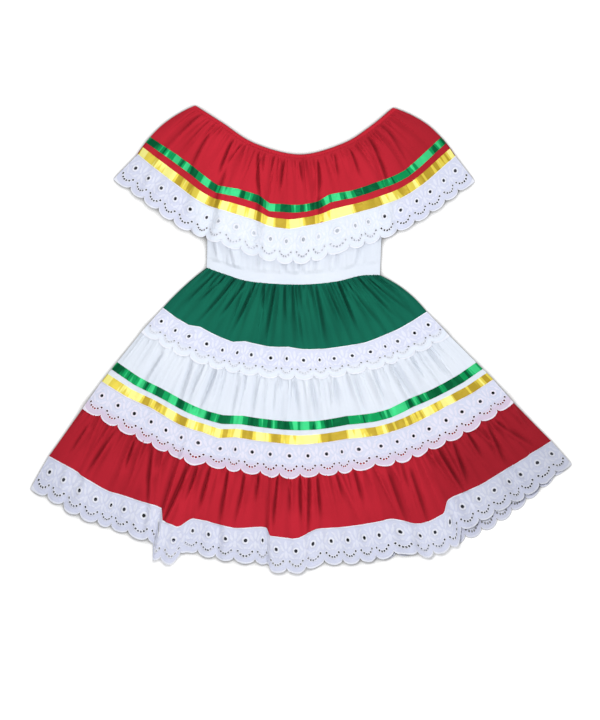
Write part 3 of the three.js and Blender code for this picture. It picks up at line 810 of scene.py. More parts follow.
@dataclass(frozen=True)
class LaceTile:
    """One repeat of the eyelet lace, as a flat net of triangles with its holes cut out.

    Places on it are local, a share across the repeat, and share, from its sewn edge to its foot.
    """

    width: float = 26.0
    height: float = 45.0
    scallop: float = 7.5
    eyelet_at: float = 0.36
    eyelet_radius: float = 2.3
    ring_radius: float = 4.7
    small_radius: float = 1.4
    small_count: int = 6
    small_drop: float = 9.6
    small_spread: float = 0.34
    small_sag: float = 5.6
    ring_relief: float = 0.45
    edge_relief: float = 0.3
    net: float = 2.7

    def edge(self, local: Array) -> Array:
        """How far up the scallop's edge lies from the foot, at a place across."""
        curve = np.sqrt(np.clip(1 - (2 * local - 1) ** 2, 0.0, 1.0))
        return self.scallop * (1 - curve)

    def small_holes(self) -> list:
        """The middles of the small holes, in millimetres from the tile's top left corner."""
        middles = []
        for index in range(self.small_count):
            aside = 2 * index / (self.small_count - 1) - 1
            up = self.small_drop + self.small_sag * aside**2
            middles.append(((0.5 + self.small_spread * aside) * self.width, self.height - up))
        return middles

    def circle(self, middle: tuple, radius: float, sides: int) -> Array:
        """Points round a hole."""
        turn = np.linspace(0, 2 * math.pi, sides, endpoint=False)
        return np.column_stack(
            [middle[0] + radius * np.cos(turn), middle[1] + radius * np.sin(turn)]
        )

    def build(self) -> tuple[Array, Array, Array]:
        """Cuts the tile.

        Returns:
            The points as local and share, the triangles, and how far each point is raised.
        """
        notch = self.height - self.scallop
        side = np.linspace(0, notch, 15)
        across = np.linspace(0, 1, 9)
        foot = 0.5 - 0.5 * np.cos(math.pi * np.linspace(0, 1, 15))
        left = np.column_stack([np.zeros(15), side])
        bottom = np.column_stack([foot * self.width, self.height - self.edge(foot)])[1:-1]
        right = np.column_stack([np.full(15, self.width), side[::-1]])
        top = np.column_stack([across[::-1] * self.width, np.zeros(9)])[1:-1]
        outline = np.concatenate([left, bottom, right, top])
        eye = (0.5 * self.width, self.eyelet_at * self.height)
        holes = [(eye, self.eyelet_radius)]
        loops = [outline, self.circle(eye, self.eyelet_radius, 14)]
        rings = [
            self.circle(eye, 0.5 * (self.eyelet_radius + self.ring_radius), 16),
            self.circle(eye, self.ring_radius, 18),
        ]
        for middle in self.small_holes():
            holes.append((middle, self.small_radius))
            loops.append(self.circle(middle, self.small_radius, 7))
        inner = (foot[1:-1] - 0.5) * (1 - 3.0 / self.width) + 0.5
        hem = np.column_stack([inner * self.width, self.height - self.edge(inner) - 1.6])
        fill = []
        for y in np.arange(self.net * 0.9, self.height - 1, self.net):
            for x in np.arange(self.net * 0.8, self.width - 1, self.net):
                local = x / self.width
                clear = y < self.height - self.edge(np.array([local]))[0] - 2.6
                for middle, radius in holes:
                    near = math.hypot(x - middle[0], y - middle[1])
                    gap = self.ring_radius if radius == self.eyelet_radius else radius
                    clear = clear and near > gap + 1.0
                if clear:
                    fill.append((x, y))
        constraint = []
        points = []
        for loop in loops:
            start = len(points)
            points.extend(map(tuple, loop))
            count = len(loop)
            constraint += [(start + k, start + (k + 1) % count) for k in range(count)]
        points.extend(map(tuple, np.concatenate(rings)))
        points.extend(map(tuple, hem))
        points.extend(fill)
        made = delaunay_2d_cdt([Vector(p) for p in points], constraint, [], 0, 1e-4)
        flat = np.array([tuple(p) for p in made[0]])
        faces = np.array(made[2])
        middle = flat[faces].mean(axis=1)
        keep = middle[:, 1] < self.height - self.edge(middle[:, 0] / self.width) + 0.02
        for centre, radius in holes:
            keep &= np.hypot(middle[:, 0] - centre[0], middle[:, 1] - centre[1]) > radius
        faces = faces[keep]
        first, second, third = (flat[faces[:, k]] for k in range(3))
        one, other = second - first, third - first
        turn = one[:, 0] * other[:, 1] - one[:, 1] * other[:, 0]
        faces = np.where((turn > 0)[:, None], faces[:, ::-1], faces)
        from_eye = np.hypot(flat[:, 0] - eye[0], flat[:, 1] - eye[1])
        half = 0.5 * (self.ring_radius - self.eyelet_radius)
        band = 1 - np.abs(from_eye - self.eyelet_radius - half) / half
        relief = self.ring_relief * np.clip(band, 0, 1)
        up = self.height - self.edge(flat[:, 0] / self.width) - flat[:, 1]
        relief += self.edge_relief * (1 - smooth(up, 1.0, 2.6)) * smooth(up, -0.1, 0.9)
        return flat / (self.width, self.height), faces, relief


FINE_TILE = LaceTile()
LOW_TILE = LaceTile(small_drop=6.4, small_sag=4.6)


class Backing(Enum):
    """What lies right behind a front lace and shows through its thin ground."""

    NOTHING = 0
    NEXT_TIER = 1
    BODICE = 2

    def behind(self, share: Array, x: Array) -> Array:
        """How much of it lies behind, at shares from the sewn edge and at places across."""
        if self is Backing.NEXT_TIER:
            return smooth(share, 0.58, 0.8)
        if self is Backing.BODICE:
            return on_bodice(x)
        return np.zeros_like(share)


@dataclass(frozen=True)
class LaceRun:
    """A length of lace: the surface that it lies on, how many repeats, and how they crowd."""

    surface: Surface
    scallops: int
    tile: LaceTile = FINE_TILE
    crowding: float = 0.0
    seed: int = 0
    backing: Backing = Backing.NOTHING

    def crowd(self, across: Array) -> Array:
        """Moves places across, so that the repeats crowd together here and spread there."""
        pick = np.random.default_rng(self.seed)
        shift = np.zeros_like(across)
        for waves in (0.21, 0.33, 0.46):
            turn = 2 * math.pi * (waves * self.scallops * across + pick.uniform())
            shift += np.sin(turn) / (2 * math.pi * waves * self.scallops)
        return across + self.crowding * shift * smooth(np.minimum(across, 1 - across), 0, 0.06)

    def piece(
        self, name: str, looks: tuple, covered_to: Array | None = None, below: str = ""
    ) -> bpy.types.Object:
        """Lays the repeats side by side along the run and makes them one shell.

        Args:
            name: the piece's name.
            looks: the materials of its two faces.
            covered_to: how far from its sewn edge another layer covers it, as a share at even
                places across, if one does.
            below: the name of the piece that it lies on, if one does.
        """
        places, triangles, relief = self.tile.build()
        cells = np.repeat(np.arange(self.scallops), len(places))
        local = np.tile(places[:, 0], self.scallops)
        share = np.tile(places[:, 1], self.scallops)
        outer = ((cells == 0) & (local < 0.5)) | ((cells == self.scallops - 1) & (local > 0.5))
        rounding = 0.8 * self.tile.edge(local) / self.tile.height * smooth(share, 0.6, 0.9)
        share = share + np.where(outer, rounding, 0.0)
        even = (cells + local) / self.scallops
        across = self.crowd(even)
        down = mix(self.surface.rows[0].down, self.surface.rows[-1].down, share)
        starts = np.repeat(np.arange(self.scallops) * len(places), len(triangles))
        faces = np.tile(triangles, (self.scallops, 1)) + starts[:, None]
        deselect()
        bpy.ops.mesh.primitive_plane_add(size=1.0)
        piece = bpy.context.active_object
        piece.name = name
        piece.data.name = name
        piece.data.clear_geometry()
        piece.data.from_pydata(np.zeros((len(across), 3)).tolist(), [], faces.tolist())
        xy = self.surface.chain.place(across, down)
        top = self.surface.top(across, down) + np.tile(relief, self.scallops)
        place_points(piece, xy, LAYERS.lift(xy, top, LACE, below))
        write_uv(piece, np.column_stack([even * self.scallops, 1 - share]))
        # Painted shade towards the lace's sides, and on the back lace's inner face where the front lace
        # covers it.
        write_attribute(piece, "painted_shade", self.surface.away(across))
        if covered_to is not None:
            limit = np.interp(across, np.linspace(0, 1, len(covered_to)), covered_to)
            write_attribute(piece, "painted_inner_shade", 1 - smooth(share, limit - 0.05, limit))
        write_attribute(piece, "backed", self.backing.behind(share, xy[:, 0]))
        bpy.ops.object.mode_set(mode="EDIT")
        bpy.ops.mesh.select_all(action="SELECT")
        bpy.ops.mesh.remove_doubles(threshold=0.02 * MM)
        bpy.ops.object.mode_set(mode="OBJECT")
        thicken(piece, LACE, looks)
        return piece


class Nodes:
    """Places and joins the nodes of one shader."""

    def __init__(self, tree: bpy.types.NodeTree) -> None:
        """Starts on an empty tree."""
        self.tree = tree
        tree.nodes.clear()

    def add(self, kind: str, **settings: object) -> bpy.types.Node:
        """Adds a node and sets its properties."""
        node = self.tree.nodes.new(kind)
        for name, value in settings.items():
            setattr(node, name, value)
        return node

    def join(self, source: object, target: object) -> None:
        """Joins one socket to another."""
        self.tree.links.new(source, target)

    def math(self, operation: str, one: object, other: object = 0.0, third: object = 0.0) -> object:
        """A Math node on sockets or plain numbers, and its result."""
        node = self.add("ShaderNodeMath", operation=operation)
        for socket, value in zip(node.inputs, (one, other, third)):
            if isinstance(value, (int, float)):
                socket.default_value = value
            else:
                self.join(value, socket)
        return node.outputs[0]

    def step(self, value: object, low: float, high: float) -> object:
        """A smooth step from 0 at low to 1 at high, or falling where low is the larger."""
        node = self.add("ShaderNodeMapRange", interpolation_type="SMOOTHSTEP")
        node.inputs["From Min"].default_value = min(low, high)
        node.inputs["From Max"].default_value = max(low, high)
        node.inputs["To Min"].default_value = 0.0 if low < high else 1.0
        node.inputs["To Max"].default_value = 1.0 if low < high else 0.0
        self.join(value, node.inputs["Value"])
        return node.outputs["Result"]

    def blend(self, share: object, one: tuple | object, other: tuple | object) -> object:
        """A colour between two, by a share."""
        node = self.add("ShaderNodeMix", data_type="RGBA")
        self.join(share, node.inputs["Factor"])
        for name, value in (("A", one), ("B", other)):
            socket = [s for s in node.inputs if s.name == name and s.type == "RGBA"][0]
            if isinstance(value, tuple):
                socket.default_value = (*value, 1.0)
            else:
                self.join(value, socket)
        return [s for s in node.outputs if s.type == "RGBA"][0]


def new_group(name: str, inputs: tuple, outputs: tuple) -> tuple[bpy.types.NodeTree, Nodes]:
    """Starts a shader node group.

    Args:
        name: the group's name.
        inputs: (socket name, socket type, default value or None) for each input.
        outputs: (socket name, socket type) for each output.

    Returns:
        The group and its node builder.
    """
    group = bpy.data.node_groups.new(name, "ShaderNodeTree")
    for socket, kind, value in inputs:
        made = group.interface.new_socket(name=socket, in_out="INPUT", socket_type=kind)
        if value is not None:
            made.default_value = value
    for socket, kind in outputs:
        group.interface.new_socket(name=socket, in_out="OUTPUT", socket_type=kind)
    return group, Nodes(group)


def weave_group() -> bpy.types.NodeTree:
    """Plain weave: threads that cross over and under, on a UV map in metres."""
    group, nodes = new_group(
        "Plain weave",
        (("Vector", "NodeSocketVector", None), ("Threads per metre", "NodeSocketFloat", 1800.0)),
        (("Height", "NodeSocketFloat"), ("Tone", "NodeSocketFloat")),
    )
    start = nodes.add("NodeGroupInput")
    end = nodes.add("NodeGroupOutput")
    split = nodes.add("ShaderNodeSeparateXYZ")
    nodes.join(start.outputs["Vector"], split.inputs[0])
    turns = nodes.math("MULTIPLY", start.outputs["Threads per metre"], math.pi)
    warp = nodes.math("SINE", nodes.math("MULTIPLY", split.outputs["X"], turns))
    weft = nodes.math("SINE", nodes.math("MULTIPLY", split.outputs["Y"], turns))
    cross = nodes.math("MULTIPLY", warp, weft)
    height = nodes.math("MULTIPLY_ADD", cross, 0.5, 0.5)
    noise = nodes.add("ShaderNodeTexNoise")
    noise.inputs["Scale"].default_value = 420.0
    noise.inputs["Detail"].default_value = 2.0
    nodes.join(start.outputs["Vector"], noise.inputs["Vector"])
    tone = nodes.math("MULTIPLY_ADD", cross, 0.12, noise.outputs["Fac"])
    nodes.join(height, end.inputs["Height"])
    nodes.join(tone, end.inputs["Tone"])
    return group


def crumple_group() -> bpy.types.NodeTree:
    """Soft small wrinkles and the uneven tone of washed cloth, in object space."""
    group, nodes = new_group(
        "Crumple",
        (("Vector", "NodeSocketVector", None), ("Scale", "NodeSocketFloat", 70.0)),
        (("Height", "NodeSocketFloat"), ("Tone", "NodeSocketFloat")),
    )
    start = nodes.add("NodeGroupInput")
    end = nodes.add("NodeGroupOutput")
    noise = nodes.add("ShaderNodeTexNoise")
    noise.inputs["Detail"].default_value = 3.0
    noise.inputs["Distortion"].default_value = 0.6
    nodes.join(start.outputs["Vector"], noise.inputs["Vector"])
    nodes.join(start.outputs["Scale"], noise.inputs["Scale"])
    broad = nodes.add("ShaderNodeTexNoise")
    broad.inputs["Scale"].default_value = 14.0
    broad.inputs["Detail"].default_value = 2.0
    nodes.join(start.outputs["Vector"], broad.inputs["Vector"])
    nodes.join(noise.outputs["Fac"], end.inputs["Height"])
    nodes.join(nodes.step(broad.outputs["Fac"], 0.3, 0.7), end.inputs["Tone"])
    return group


def ellipse(nodes: Nodes, x: object, y: object, shape: tuple) -> object:
    """How far a place lies from an ellipse's middle, where 1 is on its edge.

    Args:
        nodes: the shader's node builder.
        x: the place across, in millimetres.
        y: the place down, in millimetres.
        shape: the ellipse's middle x and y, its turn in degrees, and its half-widths.
    """
    middle_x, middle_y, turn, long_half, short_half = shape
    cosine = math.cos(math.radians(turn))
    sine = math.sin(math.radians(turn))
    from_x = nodes.math("SUBTRACT", x, middle_x)
    from_y = nodes.math("SUBTRACT", y, middle_y)
    long_way = nodes.math(
        "ADD", nodes.math("MULTIPLY", from_x, cosine), nodes.math("MULTIPLY", from_y, sine)
    )
    short_way = nodes.math(
        "SUBTRACT", nodes.math("MULTIPLY", from_y, cosine), nodes.math("MULTIPLY", from_x, sine)
    )
    long_share = nodes.math("POWER", nodes.math("DIVIDE", long_way, long_half), 2.0)
    short_share = nodes.math("POWER", nodes.math("DIVIDE", short_way, short_half), 2.0)
    return nodes.math("SQRT", nodes.math("ADD", long_share, short_share))


def embroidery_group(tile: LaceTile) -> bpy.types.NodeTree:
    """The lace's satin-stitched rings, petals and scalloped edge, on its UV map.

    Returns:
        A group that gives how raised the embroidery is and where it is.
    """
    group, nodes = new_group(
        "Embroidery",
        (("Vector", "NodeSocketVector", None),),
        (("Height", "NodeSocketFloat"), ("Mask", "NodeSocketFloat")),
    )
    start = nodes.add("NodeGroupInput")
    end = nodes.add("NodeGroupOutput")
    split = nodes.add("ShaderNodeSeparateXYZ")
    nodes.join(start.outputs["Vector"], split.inputs[0])
    local = nodes.math("FRACT", split.outputs["X"])
    aside = nodes.math("ABSOLUTE", nodes.math("SUBTRACT", local, 0.5))
    x = nodes.math("MULTIPLY", aside, tile.width)
    y = nodes.math("MULTIPLY", nodes.math("SUBTRACT", 1.0, split.outputs["Y"]), tile.height)
    eye_y = tile.eyelet_at * tile.height
    ring = ellipse(nodes, x, y, (0.0, eye_y, 0.0, tile.ring_radius, tile.ring_radius))
    mask = nodes.step(ring, 1.06, 0.95)
    half = tile.width / 2
    petals = (
        (half, eye_y - 6.5, 90.0, 5.2, 2.1),
        (half - 5.0, eye_y - 2.5, 62.0, 4.6, 1.7),
        (half, eye_y + 5.5, 90.0, 4.6, 2.3),
        (half - 5.4, eye_y + 7.0, 128.0, 4.2, 1.6),
        (4.6, eye_y - 9.0, 35.0, 3.4, 1.3),
        (0.0, eye_y + 9.2, 0.0, 2.2, 1.2),
        (5.0, eye_y + 9.6, 160.0, 2.4, 1.1),
    )
    for petal in petals:
        leaf = nodes.math("MULTIPLY", nodes.step(ellipse(nodes, x, y, petal), 1.15, 0.8), 0.55)
        mask = nodes.math("MAXIMUM", mask, leaf)
    for middle_x, middle_y in tile.small_holes():
        if middle_x < tile.width / 2 - 0.1:
            continue
        hole = (middle_x - tile.width / 2, middle_y, 0.0, 2.3, 2.3)
        mask = nodes.math("MAXIMUM", mask, nodes.step(ellipse(nodes, x, y, hole), 1.1, 0.9))
    across = nodes.math("POWER", nodes.math("MULTIPLY", aside, 2.0), 2.0)
    curve = nodes.math("SQRT", nodes.math("MAXIMUM", nodes.math("SUBTRACT", 1.0, across), 0.0))
    foot = nodes.math("MULTIPLY_ADD", curve, tile.scallop, tile.height - tile.scallop)
    up = nodes.math("SUBTRACT", foot, y)
    mask = nodes.math("MAXIMUM", mask, nodes.step(up, 2.3, 1.7))
    header = nodes.step(y, 2.0, 1.2)
    mask = nodes.math("MAXIMUM", mask, header)
    stitch = nodes.add("ShaderNodeTexWave", wave_type="BANDS", bands_direction="DIAGONAL")
    stitch.inputs["Scale"].default_value = 22.0
    stitch.inputs["Distortion"].default_value = 2.0
    nodes.join(start.outputs["Vector"], stitch.inputs["Vector"])
    satin = nodes.math("MULTIPLY_ADD", stitch.outputs["Fac"], 0.18, 0.82)
    nodes.join(nodes.math("MULTIPLY", mask, satin), end.inputs["Height"])
    nodes.join(mask, end.inputs["Mask"])
    return group


@dataclass(frozen=True)
class Finish:
    """What every finish has: its name, the two colours between which its tone varies, how dark its painted
    shade gets, and the attribute that holds its painted shade.
    """

    name: str
    colour: tuple
    shade: tuple
    # How dark the painted shade gets, as a share of the shade colour, and the attribute that holds the
    # painted shade.
    shade_floor: float = 0.12
    shade_cover: str = "painted_shade"

    def start(self) -> tuple[bpy.types.Material, Nodes, bpy.types.Node, bpy.types.Node]:
        """A new material with its shader and its coordinates."""
        look = bpy.data.materials.new(self.name)
        look.use_nodes = True
        nodes = Nodes(look.node_tree)
        shader = nodes.add("ShaderNodeBsdfPrincipled")
        output = nodes.add("ShaderNodeOutputMaterial")
        nodes.join(shader.outputs[0], output.inputs["Surface"])
        look.diffuse_color = (*self.colour, 1.0)
        return look, nodes, shader, nodes.add("ShaderNodeTexCoord")

    def group(self, nodes: Nodes, name: str, vector: object) -> bpy.types.Node:
        """Places a shared node group and gives it its coordinates."""
        node = nodes.add("ShaderNodeGroup", node_tree=bpy.data.node_groups[name])
        nodes.join(vector, node.inputs["Vector"])
        return node

    def ground(self, nodes: Nodes) -> object:
        """The colour of the shaded threads."""
        return self.shade

    def paint(self, nodes: Nodes, tone: object, shader: bpy.types.Node) -> None:
        """Colours the cloth between its two colours by its tone, darker with the painted shade that its
        attribute holds.
        """
        colour = nodes.blend(tone, self.ground(nodes), self.colour)
        shade_cover = nodes.add("ShaderNodeAttribute", attribute_name=self.shade_cover)
        dark = tuple(self.shade_floor * value for value in self.shade)
        mixed = nodes.add("ShaderNodeMix", data_type="RGBA")
        sockets = [socket for socket in mixed.inputs if socket.type == "RGBA"]
        nodes.join(shade_cover.outputs["Fac"], mixed.inputs["Factor"])
        nodes.join(colour, sockets[0])
        sockets[1].default_value = (*dark, 1.0)
        result = [socket for socket in mixed.outputs if socket.type == "RGBA"][0]
        nodes.join(result, shader.inputs["Base Color"])

    def bump(self, nodes: Nodes, heights: tuple, shader: bpy.types.Node) -> None:
        """Stacks bumps, each a height, its distance in millimetres and its strength."""
        normal = None
        for height, distance, strength in heights:
            bump = nodes.add("ShaderNodeBump")
            bump.inputs["Distance"].default_value = distance * MM
            bump.inputs["Strength"].default_value = strength
            nodes.join(height, bump.inputs["Height"])
            if normal is not None:
                nodes.join(normal, bump.inputs["Normal"])
            normal = bump.outputs["Normal"]
        nodes.join(normal, shader.inputs["Normal"])


@dataclass(frozen=True)
class Cotton(Finish):
    """Plain woven cotton."""

    threads: float = 1800.0
    crumple: float = 0.5
    sheen: float = 0.06

    def material(self) -> bpy.types.Material:
        """Builds the material."""
        look, nodes, shader, where = self.start()
        weave = self.group(nodes, "Plain weave", where.outputs["UV"])
        weave.inputs["Threads per metre"].default_value = self.threads
        crumple = self.group(nodes, "Crumple", where.outputs["Object"])
        tone = nodes.math("MULTIPLY_ADD", crumple.outputs["Tone"], 0.55, 0.0)
        tone = nodes.math("MULTIPLY_ADD", weave.outputs["Tone"], 0.45, tone)
        self.paint(nodes, tone, shader)
        rough = nodes.math("MULTIPLY_ADD", weave.outputs["Height"], -0.08, 0.92)
        nodes.join(rough, shader.inputs["Roughness"])
        shader.inputs["Sheen Weight"].default_value = self.sheen
        shader.inputs["Sheen Roughness"].default_value = 0.5
        shader.inputs["Sheen Tint"].default_value = (*self.colour, 1.0)
        shader.inputs["Specular IOR Level"].default_value = 0.12
        heights = (
            (crumple.outputs["Height"], 1.6 * self.crumple, 0.55),
            (weave.outputs["Height"], 0.12, 0.35),
        )
        self.bump(nodes, heights, shader)
        return look


@dataclass(frozen=True)
class Satin(Finish):
    """Shiny satin ribbon, with painted light and dark stretches along it: painted reflection and painted
    shade, placed by noise.
    """

    dark: tuple = (0.0, 0.0, 0.0)
    patch: float = 58.0
    seed: float = 0.0
    dark_share: float = 0.44
    light_share: float = 0.56

    def patches(self, nodes: Nodes, vector: object, scale: float, seed: float) -> object:
        """Stretches of noise along the ribbon, slightly slanted."""
        mapping = nodes.add("ShaderNodeMapping")
        mapping.inputs["Rotation"].default_value = (0.0, 0.0, 0.1)
        mapping.inputs["Scale"].default_value = (scale, 5.0, 1.0)
        mapping.inputs["Location"].default_value = (seed, 0.0, 0.0)
        nodes.join(vector, mapping.inputs["Vector"])
        noise = nodes.add("ShaderNodeTexNoise", noise_dimensions="2D")
        noise.inputs["Scale"].default_value = 1.0
        noise.inputs["Detail"].default_value = 1.0
        nodes.join(mapping.outputs[0], noise.inputs["Vector"])
        return noise.outputs["Fac"]

    def material(self) -> bpy.types.Material:
        """Builds the material."""
        look, nodes, shader, where = self.start()
        patches = self.patches(nodes, where.outputs["UV"], self.patch, self.seed)
        painted_glints = self.patches(nodes, where.outputs["UV"], 3.1 * self.patch, self.seed + 7)
        patches = nodes.math("MULTIPLY_ADD", painted_glints, 0.2, nodes.math("MULTIPLY", patches, 0.8))
        # Painted reflection and shade: the colour steps from the dark copy to the shaded one and the light
        # one along the stretches.
        dark = nodes.step(patches, self.dark_share, self.dark_share + 0.025)
        light = nodes.step(patches, self.light_share - 0.03, self.light_share)
        colour = nodes.blend(light, self.shade, self.colour)
        nodes.join(nodes.blend(dark, self.dark, colour), shader.inputs["Base Color"])
        threads = nodes.add("ShaderNodeTexWave", wave_type="BANDS", bands_direction="Y")
        threads.inputs["Scale"].default_value = 700.0
        nodes.join(where.outputs["UV"], threads.inputs["Vector"])
        rough = nodes.math("MULTIPLY_ADD", threads.outputs["Fac"], 0.08, 0.36)
        nodes.join(rough, shader.inputs["Roughness"])
        shader.inputs["Metallic"].default_value = 0.1
        shader.inputs["Specular IOR Level"].default_value = 0.3
        shader.inputs["Specular Tint"].default_value = (*self.colour, 1.0)
        crumple = self.group(nodes, "Crumple", where.outputs["Object"])
        crumple.inputs["Scale"].default_value = 120.0
        heights = ((crumple.outputs["Height"], 0.9, 0.6), (threads.outputs["Fac"], 0.04, 0.3))
        self.bump(nodes, heights, shader)
        return look


@dataclass(frozen=True)
class Embroidered(Finish):
    """White cotton with eyelet embroidery, whose thin ground takes the tint of what backs it."""

    backed: tuple = (0.66, 0.72, 0.82)

    def ground(self, nodes: Nodes) -> object:
        """The colour of the thin ground."""
        behind = nodes.add("ShaderNodeAttribute", attribute_name="backed")
        return nodes.blend(behind.outputs["Fac"], self.shade, self.backed)

    def material(self) -> bpy.types.Material:
        """Builds the material."""
        look, nodes, shader, where = self.start()
        work = self.group(nodes, "Embroidery", where.outputs["UV"])
        crumple = self.group(nodes, "Crumple", where.outputs["Object"])
        crumple.inputs["Scale"].default_value = 160.0
        tone = nodes.math("MULTIPLY_ADD", work.outputs["Mask"], 0.7, -0.1)
        tone = nodes.math("MULTIPLY_ADD", crumple.outputs["Height"], 0.4, tone)
        tone = nodes.math("MULTIPLY_ADD", crumple.outputs["Tone"], 0.1, tone)
        self.paint(nodes, tone, shader)
        rough = nodes.math("MULTIPLY_ADD", work.outputs["Height"], -0.25, 0.9)
        nodes.join(rough, shader.inputs["Roughness"])
        shader.inputs["Sheen Weight"].default_value = 0.2
        shader.inputs["Specular IOR Level"].default_value = 0.3
        heights = ((crumple.outputs["Height"], 0.9, 0.5), (work.outputs["Height"], 0.55, 0.8))
        self.bump(nodes, heights, shader)
        return look


RED_COTTON = Cotton("red cotton", (0.53, 0.018, 0.036), (0.43, 0.014, 0.027), crumple=0.8)
GREEN_COTTON = Cotton("green cotton", (0.005, 0.135, 0.083), (0.003, 0.105, 0.066), crumple=0.8)
WHITE_COTTON = Cotton("white cotton", (0.71, 0.755, 0.83), (0.65, 0.70, 0.79), 0.3, crumple=0.9)
# The inner faces are darker copies of the outer finishes: painted shade inside the dress.
INNER_RED = Cotton("red cotton, inside", (0.34, 0.012, 0.024), (0.27, 0.008, 0.017))
INNER_GREEN = Cotton("green cotton, inside", (0.004, 0.09, 0.055), (0.003, 0.07, 0.042))
INNER_WHITE = Cotton("white cotton, inside", (0.53, 0.56, 0.63), (0.47, 0.50, 0.58))
LACE_WHITE = Embroidered("eyelet lace", (0.80, 0.82, 0.90), (0.57, 0.60, 0.76))
LACE_OVER_RED = Embroidered(
    "eyelet lace over red", (0.80, 0.76, 0.86), (0.57, 0.61, 0.76), backed=(0.57, 0.47, 0.62)
)
# Painted shade: the lace's inner face, darker still where a front lace covers it.
LACE_INSIDE = Embroidered(
    "eyelet lace, inside",
    (0.70, 0.72, 0.82),
    (0.52, 0.54, 0.68),
    shade_cover="painted_inner_shade",
    backed=(0.52, 0.54, 0.68),
)
# Each satin has a light, a shaded and a dark copy of its colour, for its painted reflection and painted
# shade.
GREEN_SATIN = Satin(
    "green satin", (0.045, 0.54, 0.20), (0.005, 0.25, 0.075), dark=(0.002, 0.085, 0.03)
)
YELLOW_SATIN = Satin(
    "yellow satin", (0.86, 0.81, 0.25), (0.68, 0.55, 0.07), dark=(0.42, 0.29, 0.025), seed=5.0
)
FINISHES = (
    RED_COTTON,
    GREEN_COTTON,
    WHITE_COTTON,
    INNER_RED,
    INNER_GREEN,
    INNER_WHITE,
    LACE_WHITE,
    LACE_OVER_RED,
    LACE_INSIDE,
    GREEN_SATIN,
    YELLOW_SATIN,
)


def cover_by(front: Surface, back: Surface, places: int = 120) -> Array:
    """How much of the back lace's height the front lace covers, at even places across."""
    across = np.linspace(0, 1, places)
    start, end = back.rows[0].down, back.rows[-1].down - 1e-6
    sewn = back.chain.place(across, np.full(places, start))
    front_edge = front.chain.place(across, np.full(places, end))
    back_edge = back.chain.place(across, np.full(places, end))
    reach = np.linalg.norm(front_edge - sewn, axis=1)
    return np.minimum(reach / np.linalg.norm(back_edge - sewn, axis=1) - 0.06, 0.9)


def looks_of(front: bool, outside: Finish, inside: Finish) -> tuple:
    """The materials of a sheet's upper and lower face."""
    faces = (outside, inside) if front else (inside, outside)
    return tuple(bpy.data.materials[finish.name] for finish in faces)


RED = (RED_COTTON, INNER_RED)
GREEN = (GREEN_COTTON, INNER_GREEN)
WHITE = (WHITE_COTTON, INNER_WHITE)
LACED = (LACE_WHITE, LACE_INSIDE)
LACED_ON_RED = (LACE_OVER_RED, LACE_INSIDE)


@dataclass
class NeckCasing:
    """The elastic casing round the neck: a red tube, gathered finely, front and back."""

    puckers: int = 84
    pucker_height: float = 0.8
    seam_shade: float = 0.35
    cells: tuple = (504, 8)
    cut: tuple = (350.0, 16.0)
    area: float = 0.002016

    def build(self) -> None:
        """Makes both halves."""
        for side, level in (("front", CASING_FRONT), ("back", 0.0)):
            name = f"neck_casing_{side}"
            piece, across, share = grid_piece(name + "_cloth", *self.cells)
            down = mix(0.0, CASING_DOWN, share)
            crown = np.where(share < 0.5, 1 - (2 * share - 1) ** 4, 1 - 0.5 * (2 * share - 1) ** 2)
            pucker = 0.5 - 0.5 * np.cos(2 * math.pi * self.puckers * across)
            top = level + CLOTH + LEAST_CLEAR + (CASING_THICK - 1.0) * crown
            top += self.pucker_height * pucker * crown * (0.3 + 0.7 * np.sin(37 * across) ** 2)
            place_points(piece, YOKE_BACK_CHAIN.place(across, down), top)
            write_uv(piece, np.column_stack([across * 350, -share * CASING_WIDTH]) * MM)
            # Painted shade along the seam at the casing's foot and along the neck edge.
            seams = smooth(share, 0.8, 1.0) + 1 - smooth(share, 0.0, 0.2)
            write_attribute(piece, "painted_shade", self.seam_shade * seams)
            thicken(piece, CLOTH, looks_of(True, *RED))
            declare(piece, name)


